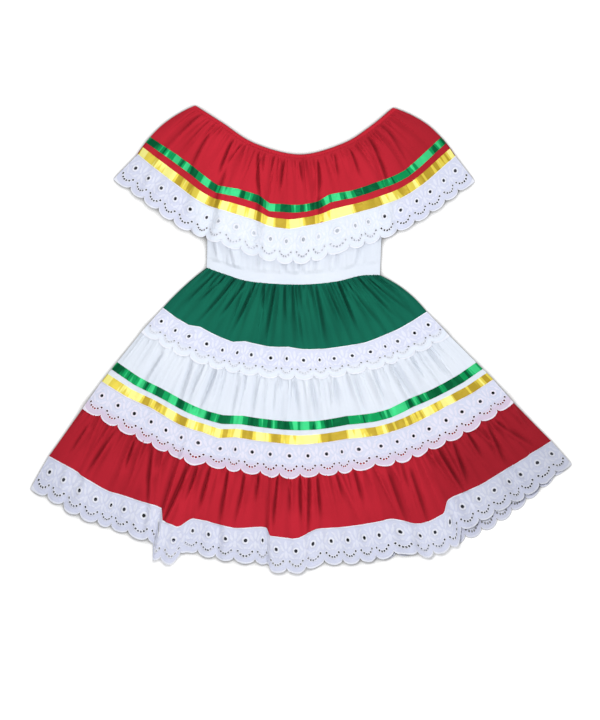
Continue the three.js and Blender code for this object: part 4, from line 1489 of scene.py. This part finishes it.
@dataclass
class Flounce:
    """The gathered red flounce with its two ribbons and its lace edge, front and back."""

    green_band: tuple = (19.4, 29.2)
    yellow_band: tuple = (-0.4, 11.4)
    least_ribbon: float = 10.0
    cut: tuple = (700.0, 112.0)
    front_area: float = 0.052
    back_area: float = 0.046
    lace_cut: tuple = (600.0, 45.0)
    lace_front_area: float = 0.0205
    lace_back_area: float = 0.0195
    gathers: tuple = (
        Gathers(64, 3.2, 1.7, 0.4, 11, 0.25),
        Gathers(20, 2.8, 4.0, 0.9, 12, 0.4),
    )
    creases: tuple = (
        Crease((0.223, 0.12), (0.235, 0.62), 3.1, 1.4),
        Crease((0.262, 0.10), (0.245, 0.42), 2.1, 1.1),
        Crease((0.25, 0.5), (0.268, 1.25), 2.6, 2.2),
        Crease((0.345, 0.1), (0.392, 0.85), 3.6, 1.4),
        Crease((0.385, 0.75), (0.39, 1.2), 3.1, 2.4),
        Crease((0.60, 0.08), (0.572, 0.75), 3.4, 1.4),
        Crease((0.575, 0.65), (0.568, 1.2), 3.1, 2.4),
        Crease((0.74, 0.12), (0.725, 0.55), 2.3, 1.4),
        Crease((0.828, 0.15), (0.785, 0.95), 3.4, 1.6),
        Crease((0.455, 0.08), (0.448, 0.55), 2.3, 1.2),
        Crease((0.52, 0.08), (0.525, 0.4), 2.1, 1.1),
        Crease((0.67, 0.1), (0.655, 0.45), 2.3, 1.2),
        Crease((0.13, 0.2), (0.15, 0.8), 2.1, 1.8),
        Crease((0.90, 0.2), (0.875, 0.75), 1.8, 1.6),
    )

    def front_surface(self) -> Surface:
        """The front's upper face."""
        rows = (
            Row(CASING_DOWN - 0.009, CASING_FRONT, 0.0, CASING_FRONT + CLOTH_WALL + 0.35, 0.2),
            Row(0.2, FRONT_ON_TRIM, 1.2, YOKE_ON_BODICE),
            Row(0.69, FRONT_ON_TRIM, 1.0, YOKE_ON_BODICE),
            Row(1.0, FRONT_ON_TRIM, 0.7, YOKE_ON_BODICE),
        )
        fine = (self.gathers, self.creases)
        return Surface(
            YOKE_CHAIN,
            rows,
            CLOTH_WALL,
            430.0,
            True,
            22,
            1,
            *fine,
            fine_start=-0.02,
            side_shade=YOKE_SIDE_SHADE,
        )

    def back_surface(self) -> Surface:
        """The back's upper face."""
        rows = (
            Row(CASING_DOWN, 0.0),
            Row(0.61, 0.0),
            Row(0.69, BACK_ON_TRIM),
            Row(1.0, BACK_ON_TRIM),
        )
        gathers = (Gathers(60, 0.5, 1.8, 0.6, 14, 0.4), Gathers(16, 0.5, 3.5, 1.2, 15, 0.5))
        return Surface(YOKE_BACK_CHAIN, rows, CLOTH, 430.0, False, gathers=gathers)

    def build(self) -> None:
        """Makes the panels, ribbons and lace of both halves."""
        front = self.front_surface()
        back = self.back_surface()
        piece = panel_piece(
            "yoke_front_cloth", front, (460, 48), looks_of(True, *RED), (), "bodice_front_cloth"
        )
        declare(piece, "yoke_front")
        piece = panel_piece("yoke_back_cloth", back, (240, 20), looks_of(False, *RED))
        declare(piece, "yoke_back")
        bands = (
            ("green", self.green_band, GREEN_SATIN),
            ("yellow", self.yellow_band, YELLOW_SATIN),
        )
        for colour, band, finish in bands:
            name = f"yoke_{colour}_ribbon"
            looks = looks_of(True, finish, finish)
            piece = ribbon_piece(
                name + "_front_satin", front, 1.0, band, (460, 6), looks, "yoke_front_cloth"
            )
            declare(piece, name + "_front")
            flat = Surface(YOKE_BACK_CHAIN, (Row(0.0, 0.0), Row(1.0, 0.0)), RIBBON, 430.0, False)
            piece = ribbon_piece(name + "_back_satin", flat, 1.0, band, (130, 3), looks, "")
            declare(piece, name + "_back")
        self.build_lace()

    def build_lace(self) -> None:
        """Makes the lace edge of both halves."""
        rows = (
            Row(1.0, FRONT_ON_TRIM, 0.7, YOKE_ON_BODICE),
            Row(2.0, LACE_WALL + 0.5, 1.6, YOKE_ON_BODICE + 0.2, 1.4),
        )
        fine = (Gathers(30, 1.0, 4.5, 1.6, 13, 0.6),)
        creases = (
            Crease((0.262, 0.9), (0.275, 2.1), 2.9, 5.1),
            Crease((0.388, 0.9), (0.39, 2.1), 3.1, 5.5),
            Crease((0.572, 0.9), (0.565, 2.1), 3.1, 5.5),
            Crease((0.785, 0.9), (0.77, 2.1), 2.9, 5.1),
        )
        front = Surface(YOKE_CHAIN, rows, LACE_WALL, 490.0, True, 22, 2, fine, creases)
        run = LaceRun(front, 22, FINE_TILE, 0.11, 71, Backing.BODICE)
        looks = looks_of(True, *LACED)
        piece = run.piece("yoke_lace_front_cloth", looks, None, "bodice_front_cloth")
        declare(piece, "yoke_lace_front")
        flat = Surface(YOKE_BACK_CHAIN, (Row(1.0, 0.0), Row(2.0, 0.0)), LACE, 490.0, False)
        run = LaceRun(flat, 22)
        looks = looks_of(False, *LACED)
        piece = run.piece("yoke_lace_back_cloth", looks, cover_by(front, flat))
        declare(piece, "yoke_lace_back")


@dataclass
class Bodice:
    """The plain white bodice below the flounce and the elastic band at its waist."""

    gathers: tuple = (
        Gathers(13, 4.2, 5.2, 0.9, 21, 0.7, True),
        Gathers(34, 1.2, 1.6, 0.5, 22, 0.4, True),
        Gathers(11, 2.4, 4.5, 0.8, 23, 0.5),
    )
    creases: tuple = (
        Crease((0.12, 1.9), (0.16, 2.8), 2.3, 1.7),
        Crease((0.03, 2.0), (0.06, 2.7), 2.1, 1.7),
        Crease((0.3, 1.9), (0.29, 2.8), 2.1, 1.7),
        Crease((0.44, 2.0), (0.46, 2.8), 2.3, 1.7),
        Crease((0.53, 2.1), (0.54, 2.8), 1.8, 1.5),
        Crease((0.63, 2.0), (0.61, 2.8), 2.3, 1.7),
        Crease((0.75, 1.9), (0.74, 2.75), 1.8, 1.9),
        Crease((0.88, 1.8), (0.86, 2.8), 2.3, 1.9),
    )
    # Painted shade on the bodice under the flounce: it grows between these heights above the flounce's
    # edge, up to this darkness.
    flounce_clear: tuple = (8.0, 12.0)
    flounce_shade: float = 0.25
    cut_width: float = 300.0

    def front_surface(self) -> Surface:
        """The front's upper face, down to the waist seam."""
        rows = (
            Row(0.0, CASING_FRONT),
            Row(1.0, BODICE_FRONT, 0.6),
            Row(2.0, BODICE_FRONT, 0.9),
            Row(BAND_DOWN, BAND_FRONT + 0.6, 0.6),
            Row(3.0, BAND_FRONT + 0.4),
        )
        fine = (self.gathers, self.creases)
        ends = (1.3, BAND_DOWN)
        return Surface(
            BODICE_CHAIN, rows, CLOTH_WALL, 230.0, True, 10, 3, *fine, *ends, groove_shade=0.5
        )

    def shade_cover(self, xy: Array) -> Array:
        """Painted shade on the bodice under the flounce's lace."""
        edge = YOKE_EDGE.at(np.linspace(0, 1, 80))
        height = xy[:, 1] - np.interp(xy[:, 0], edge[:, 0], edge[:, 1])
        return self.flounce_shade * smooth(height, *self.flounce_clear)

    def build(self) -> None:
        """Makes the panels and the bands."""
        front = self.front_surface()
        back_rows = (
            Row(0.0, CLOTH_WALL + LAID_GAP),
            Row(1.0, BODICE_BACK),
            Row(2.0, BODICE_BACK),
            Row(BAND_DOWN, 0.0),
            Row(3.0, 0.0),
        )
        gathers = (Gathers(26, 0.5, 1.8, 0.6, 24, 0.4, True), Gathers(9, 0.5, 3.5, 0.9, 25, 0.6, True))
        back = Surface(BODICE_CHAIN, back_rows, CLOTH, 230.0, False, gathers=gathers)
        parts = (
            ("bodice", 0.0, BAND_DOWN, (200, 84), (130, 40), 190.0, 0.0375),
            ("waist_band", BAND_DOWN, 3.0, (200, 14), (60, 6), 14.0, None),
        )
        for name, start, end, cells, back_cells, length, area in parts:
            piece = self.part(name + "_front", front, start, end, cells, True)
            declare(piece, name + "_front")
            piece = self.part(name + "_back", back, start, end, back_cells, False)
            declare(piece, name + "_back")

    def part(
        self, name: str, surface: Surface, start: float, end: float, cells: tuple, is_front: bool
    ) -> bpy.types.Object:
        """Makes one piece of the bodice, from one place down it to another."""
        piece, across, share = grid_piece(name + "_cloth", *cells)
        down = mix(start, end, share)
        xy = surface.chain.place(across, down)
        top = surface.top(across, down)
        place_points(piece, xy, top)
        write_uv(piece, np.column_stack([across * 230, -down * 66]) * MM)
        # Painted shade: the small gathers of the back, and the grooves and the part under the flounce on
        # the front.
        shade = surface.crease_shade(across, down)
        if is_front:
            shade = np.maximum(surface.groove_shade * painted_cavity_shade(top, cells, 230.0), self.shade_cover(xy))
        write_attribute(piece, "painted_shade", shade)
        thicken(piece, CLOTH, looks_of(is_front, *WHITE))
        if is_front:
            LAYERS.lay(piece)
        return piece


@dataclass
class Skirt:
    """The three gathered tiers, the ribbons of the middle one, and the lace at each foot."""

    green_band: tuple = (21.4, 34.0)
    yellow_band: tuple = (-0.4, 13.0)
    join_share: float = 0.62
    green_cut: tuple = (560, 92)
    white_cut: tuple = (860, 130)
    red_cut: tuple = (1280, 118)

    def green_tier(self) -> Surface:
        """The green tier's upper face."""
        rows = (
            Row(0.0, BAND_FRONT, 0.7),
            Row(0.45, FRONT_ON_ONE, 1.5),
            Row(1.0, FRONT_ON_ONE, 1.5),
        )
        gathers = (Gathers(62, 3.2, 1.6, 0.6, 31, 0.3), Gathers(18, 2.8, 3.5, 1.2, 32, 0.5))
        creases = (
            Crease((0.06, 0.05), (0.05, 0.7), 2.6, 1.3),
            Crease((0.12, 0.02), (0.085, 0.6), 2.1, 1.1),
            Crease((0.172, 0.0), (0.13, 0.95), 3.6, 1.4),
            Crease((0.235, 0.0), (0.19, 0.75), 2.9, 1.3),
            Crease((0.292, 0.0), (0.262, 0.85), 3.9, 1.4),
            Crease((0.345, 0.05), (0.372, 0.62), 2.9, 1.1),
            Crease((0.4, 0.0), (0.392, 1.0), 3.6, 1.4),
            Crease((0.46, 0.05), (0.465, 0.6), 2.3, 1.1),
            Crease((0.517, 0.0), (0.53, 0.95), 2.9, 1.3),
            Crease((0.57, 0.05), (0.565, 0.5), 2.1, 1.1),
            Crease((0.625, 0.0), (0.612, 1.0), 3.1, 1.3),
            Crease((0.685, 0.02), (0.70, 0.6), 2.3, 1.1),
            Crease((0.752, 0.0), (0.742, 0.75), 3.6, 1.3),
            Crease((0.80, 0.02), (0.83, 0.8), 2.6, 1.3),
            Crease((0.87, 0.02), (0.90, 0.85), 2.9, 1.3),
            Crease((0.917, 0.05), (0.95, 0.8), 2.9, 1.3),
        )
        fine = (gathers, creases)
        return Surface(SKIRT_CHAIN, rows, CLOTH_WALL, 330.0, True, 24, 4, *fine)

    def white_tier(self) -> Surface:
        """The white tier's upper face."""
        rows = (
            Row(1 + self.join_share, FRONT_ON_TRIM, 0.0),
            Row(2.0, FRONT_ON_TRIM, 0.5),
            Row(2.15, FRONT_ON_TRIM, 1.2),
            Row(2.55, FRONT_ON_TRIM, 1.0),
            Row(3.0, FRONT_ON_TRIM, 0.9),
        )
        gathers = (Gathers(74, 2.6, 1.9, 0.7, 41, 0.4), Gathers(20, 2.6, 4.5, 1.3, 42, 0.6))
        creases = (
            Crease((0.09, 2.05), (0.085, 2.7), 2.3, 2.0),
            Crease((0.182, 2.0), (0.193, 2.8), 3.4, 2.0),
            Crease((0.215, 2.0), (0.212, 2.5), 2.3, 1.7),
            Crease((0.258, 2.0), (0.243, 2.75), 3.6, 2.0),
            Crease((0.33, 2.0), (0.33, 2.7), 2.6, 1.9),
            Crease((0.39, 2.0), (0.385, 2.6), 2.3, 1.9),
            Crease((0.44, 2.0), (0.435, 2.6), 2.3, 1.9),
            Crease((0.50, 2.0), (0.505, 2.5), 2.1, 1.7),
            Crease((0.55, 2.0), (0.555, 2.7), 2.6, 2.0),
            Crease((0.62, 2.0), (0.615, 2.5), 2.3, 1.9),
            Crease((0.68, 2.0), (0.685, 2.7), 2.6, 2.0),
            Crease((0.74, 2.0), (0.745, 2.6), 2.3, 1.9),
            Crease((0.805, 2.0), (0.815, 2.8), 3.4, 2.0),
            Crease((0.86, 2.0), (0.87, 2.6), 2.3, 1.9),
            Crease((0.915, 2.0), (0.92, 2.7), 2.3, 2.0),
        )
        fine = (gathers, creases)
        return Surface(
            SKIRT_CHAIN, rows, CLOTH_WALL, 520.0, True, 24, 5, *fine, 1.93, groove_shade=0.45
        )

    def red_tier(self) -> Surface:
        """The red tier's upper face."""
        rows = (
            Row(3 + self.join_share, FRONT_ON_TRIM, 0.0),
            Row(4.0, FRONT_ON_TRIM, 0.5),
            Row(4.13, FRONT_ON_TRIM, 1.2),
            Row(4.55, FRONT_ON_ONE, 1.0),
            Row(5.0, FRONT_ON_ONE, 1.2),
        )
        gathers = (Gathers(90, 3.0, 2.0, 0.7, 51, 0.3), Gathers(22, 2.8, 5.0, 1.3, 52, 0.6))
        creases = (
            Crease((0.03, 4.2), (0.028, 4.8), 2.1, 1.7),
            Crease((0.085, 4.0), (0.075, 4.95), 3.4, 1.8),
            Crease((0.13, 4.0), (0.14, 4.6), 2.6, 1.5),
            Crease((0.17, 3.95), (0.207, 5.1), 3.9, 1.8),
            Crease((0.262, 3.9), (0.233, 5.5), 4.6, 1.8),
            Crease((0.28, 4.0), (0.272, 4.6), 2.9, 1.4),
            Crease((0.305, 4.0), (0.3, 4.85), 3.9, 1.7),
            Crease((0.345, 4.0), (0.343, 5.0), 3.9, 1.8),
            Crease((0.383, 3.95), (0.372, 4.9), 3.6, 1.7),
            Crease((0.412, 4.0), (0.408, 4.5), 2.6, 1.4),
            Crease((0.453, 3.95), (0.443, 4.85), 3.4, 1.4),
            Crease((0.48, 4.0), (0.475, 4.6), 2.6, 1.4),
            Crease((0.502, 3.95), (0.497, 4.75), 3.4, 1.4),
            Crease((0.52, 4.0), (0.507, 5.1), 3.6, 1.5),
            Crease((0.537, 4.0), (0.535, 4.8), 3.4, 1.4),
            Crease((0.58, 4.0), (0.585, 4.5), 2.3, 1.5),
            Crease((0.62, 4.0), (0.62, 4.6), 2.3, 1.7),
            Crease((0.69, 4.1), (0.69, 5.1), 3.4, 2.5),
            Crease((0.735, 4.1), (0.725, 5.1), 3.4, 1.9),
            Crease((0.807, 4.0), (0.812, 5.1), 3.9, 1.7),
            Crease((0.843, 4.0), (0.823, 4.95), 3.6, 1.7),
            Crease((0.88, 4.0), (0.875, 4.6), 2.6, 1.5),
            Crease((0.925, 4.05), (0.905, 4.9), 3.4, 1.7),
            Crease((0.943, 4.05), (0.968, 4.9), 2.6, 1.7),
        )
        fine = (gathers, creases)
        return Surface(
            SKIRT_CHAIN, rows, CLOTH_WALL, 730.0, True, 32, 6, *fine, 3.93, side_shade=RED_SIDE_SHADE
        )

    def build(self) -> None:
        """Makes the tiers, the ribbons and the laces."""
        self.build_fronts()
        self.build_backs()
        self.build_ribbons()
        self.build_laces()

    def build_fronts(self) -> None:
        """Makes the front panels of the three tiers."""
        fronts = (
            ("green", self.green_tier(), GREEN, (400, 40), self.green_cut, 0.0305, ()),
            ("white", self.white_tier(), WHITE, (400, 50), self.white_cut, 0.0565, (1.66, 1.72)),
            ("red", self.red_tier(), RED, (720, 50), self.red_cut, 0.0715, (3.74, 3.80)),
        )
        for colour, surface, finish, cells, flat, area, shade_cover in fronts:
            name = f"{colour}_tier_front"
            piece = panel_piece(name + "_cloth", surface, cells, looks_of(True, *finish), shade_cover)
            declare(piece, name)

    def build_backs(self) -> None:
        """Makes the back panels of the three tiers."""
        join = self.join_share
        green = (Row(0.0, 0.0), Row(1.0, 0.0))
        white = (Row(1 + join, BACK_ON_TRIM), Row(3.0, BACK_ON_TRIM))
        red = (
            Row(3 + join, BACK_ON_TRIM),
            Row(4.03, BACK_ON_TRIM),
            Row(4.12, 0.0),
            Row(5.0, 0.0),
        )
        backs = (
            ("green", green, GREEN, (200, 20), self.green_cut, 0.0295, 330.0, 60),
            ("white", white, WHITE, (300, 26), self.white_cut, 0.0555, 520.0, 74),
            ("red", red, RED, (400, 30), self.red_cut, 0.0685, 730.0, 90),
        )
        for colour, rows, finish, cells, flat, area, span, count in backs:
            name = f"{colour}_tier_back"
            gathers = (
                Gathers(count, 0.5, 1.9, 0.6, count, 0.3),
                Gathers(count // 4, 0.5, 4.0, 1.2, count + 1, 0.5),
            )
            start = math.floor(rows[0].down + 0.5) if rows[0].down else 0.0
            surface = Surface(
                SKIRT_BACK_CHAIN, rows, CLOTH, span, False, gathers=gathers, fine_from=start
            )
            piece = panel_piece(name + "_cloth", surface, cells, looks_of(False, *finish))
            declare(piece, name)

    def build_ribbons(self) -> None:
        """Makes the white tier's two ribbons, front and back."""
        surface = self.white_tier()
        below = "white_tier_front_cloth"
        bands = (
            ("green", self.green_band, GREEN_SATIN),
            ("yellow", self.yellow_band, YELLOW_SATIN),
        )
        for colour, band, finish in bands:
            name = f"skirt_{colour}_ribbon"
            looks = looks_of(True, finish, finish)
            piece = ribbon_piece(name + "_front_satin", surface, 3.0, band, (400, 5), looks, below)
            declare(piece, name + "_front")
            flat = Surface(SKIRT_BACK_CHAIN, (Row(2.0, 0.0), Row(3.0, 0.0)), RIBBON, 520.0, False)
            piece = ribbon_piece(name + "_back_satin", flat, 3.0, band, (150, 3), looks, "")
            declare(piece, name + "_back")

    def build_laces(self) -> None:
        """Makes the three laces, front and back."""
        join = self.join_share
        upper = (
            Row(1.0, FRONT_ON_ONE, 1.0),
            Row(1 + join, LACE_ON_TIER + 0.7, 0.6),
            Row(2.0, LACE_ON_TIER + 2.1, 0.6, puff=1.8),
        )
        lower = (
            Row(3.0, FRONT_ON_TRIM, 1.0),
            Row(3 + join, LACE_ON_TIER + 0.7, 0.6),
            Row(4.0, LACE_ON_TIER + 2.1, 0.6, puff=1.8),
        )
        hem = (Row(5.0, FRONT_ON_ONE, 1.2), Row(6.0, LACE_WALL + 0.5, 2.0, puff=1.2))
        hem_creases = (
            Crease((0.205, 4.9), (0.21, 6.1), 2.6, 3.4),
            Crease((0.345, 4.9), (0.345, 6.1), 2.6, 3.8),
            Crease((0.507, 4.9), (0.51, 6.1), 2.9, 3.4),
            Crease((0.69, 4.9), (0.688, 6.1), 2.9, 4.2),
            Crease((0.81, 4.9), (0.812, 6.1), 2.9, 3.4),
            Crease((0.905, 4.9), (0.90, 6.1), 2.1, 3.4),
            Crease((0.075, 4.9), (0.07, 6.1), 2.1, 3.4),
        )
        white, red = "white_tier_front_cloth", "red_tier_front_cloth"
        runs = (
            ("upper_lace", upper, 18, 7, 440.0, (600, 45), 0.0185, (), 61, white, LACED),
            ("lower_lace", lower, 24, 8, 600.0, (860, 45), 0.0265, (), 62, red, LACED_ON_RED),
            ("hem_lace", hem, 32, 6, 770.0, (1280, 45), 0.0345, hem_creases, 63, "", LACED),
        )
        for name, rows, count, seed, span, flat, area, creases, fine_seed, below, faces in runs:
            fine = (Gathers(count, 1.3, 4.5, 2.0, fine_seed, 0.7),)
            front = Surface(
                SKIRT_CHAIN,
                rows,
                LACE_WALL,
                span,
                True,
                count,
                seed,
                fine,
                creases,
                side_shade=HEM_SIDE_SHADE if not below else ((0.0, 0.0), (1.0, 0.0)),
            )
            backing = Backing.NEXT_TIER if below else Backing.NOTHING
            run = LaceRun(front, count, FINE_TILE, 0.11, fine_seed, backing)
            piece = run.piece(name + "_front_cloth", looks_of(True, *faces), None, below)
            declare(piece, name + "_front")
            ends = (Row(rows[0].down, 0.0), Row(rows[-1].down, 0.0))
            back = Surface(SKIRT_BACK_CHAIN, ends, LACE, span, False)
            run = LaceRun(back, count, FINE_TILE if below else LOW_TILE)
            looks = looks_of(False, *LACED)
            piece = run.piece(name + "_back_cloth", looks, cover_by(front, back))
            declare(piece, name + "_back")


@dataclass
class Studio:
    """The table, the soft lights and the camera that looks straight down."""

    middle: tuple = (-1.37, -28.3)
    photo_height: float = 972.0
    lens: float = 85.0
    sensor: float = 36.0
    table_white: float = 0.95
    table_glow: float = 0.42
    sky_reach: float = 0.02

    def build(self) -> None:
        """Sets the table, the lights and the camera."""
        self.build_table()
        self.build_lights()
        self.build_camera()

    def build_table(self) -> None:
        """A plain pale table top, which glows a little, with painted shade right under the cloth, where
        its ambient occlusion darkens its colour and its glow.
        """
        deselect()
        bpy.ops.mesh.primitive_plane_add(size=8.0, location=(0.0, 0.0, -0.0006))
        table = bpy.context.active_object
        table.name = "table_top"
        look = bpy.data.materials.new("pale table")
        look.use_nodes = True
        shader = look.node_tree.nodes["Principled BSDF"]
        shader.inputs["Roughness"].default_value = 0.9
        shader.inputs["Emission Color"].default_value = (1.0, 1.0, 1.0, 1.0)
        nodes = look.node_tree.nodes
        links = look.node_tree.links
        sky = nodes.new("ShaderNodeAmbientOcclusion")
        sky.samples = 8
        sky.inputs["Distance"].default_value = self.sky_reach
        open_share = nodes.new("ShaderNodeMath")
        open_share.operation = "POWER"
        open_share.inputs[1].default_value = 2.0
        links.new(sky.outputs["AO"], open_share.inputs[0])
        # Painted shade: the squared ambient occlusion darkens the base colour and the glow under the
        # cloth.
        for factor, name in ((self.table_white, "Base Color"), (self.table_glow, "Emission Strength")):
            share = nodes.new("ShaderNodeMath")
            share.operation = "MULTIPLY"
            share.inputs[1].default_value = factor
            links.new(open_share.outputs[0], share.inputs[0])
            links.new(share.outputs[0], shader.inputs[name])
        table.data.materials.append(look)

    def build_lights(self) -> None:
        """A soft light above, and a larger and lower one from the upper right."""
        lights = (
            ("overhead", (-0.05, 0.04, 0.95), 0.3, 7.6, (1.0, 0.995, 0.985)),
            ("from_right", (1.7, 1.1, 1.2), 0.8, 13.0, (1.0, 1.0, 1.0)),
        )
        for name, place, size, power, colour in lights:
            data = bpy.data.lights.new(name, "AREA")
            data.size = size
            data.energy = power
            data.color = colour
            light = bpy.data.objects.new(name, data)
            bpy.context.collection.objects.link(light)
            light.location = place
            light.visible_camera = False
            aim = Vector((0.0, 0.0, 0.0)) - Vector(place)
            light.rotation_euler = aim.to_track_quat("-Z", "Y").to_euler()
        world = bpy.data.worlds.new("studio")
        bpy.context.scene.world = world
        world.use_nodes = True
        background = world.node_tree.nodes["Background"]
        background.inputs["Color"].default_value = (0.97, 0.98, 1.0, 1.0)
        background.inputs["Strength"].default_value = 0.33
        bpy.context.scene.view_settings.view_transform = "Standard"

    def build_camera(self) -> None:
        """The camera, straight above the middle of the photograph."""
        data = bpy.data.cameras.new("camera")
        data.lens = self.lens
        data.sensor_width = self.sensor
        camera = bpy.data.objects.new("camera", data)
        bpy.context.collection.objects.link(camera)
        height = self.photo_height * self.lens / self.sensor
        camera.location = (self.middle[0] * MM, self.middle[1] * MM, (height + 5) * MM)
        camera.rotation_euler = (0.0, 0.0, 0.0)
        data.clip_end = 20.0
        bpy.context.scene.camera = camera


def main() -> None:
    """Makes the finishes, dresses the part and sets the studio."""
    logging.basicConfig(level=logging.INFO, format="%(name)s: %(message)s")
    weave_group()
    crumple_group()
    embroidery_group(LaceTile())
    for finish in FINISHES:
        finish.material()
    NeckCasing().build()
    Bodice().build()
    Flounce().build()
    Skirt().build()
    Studio().build()


if __name__ == "__main__":
    main()
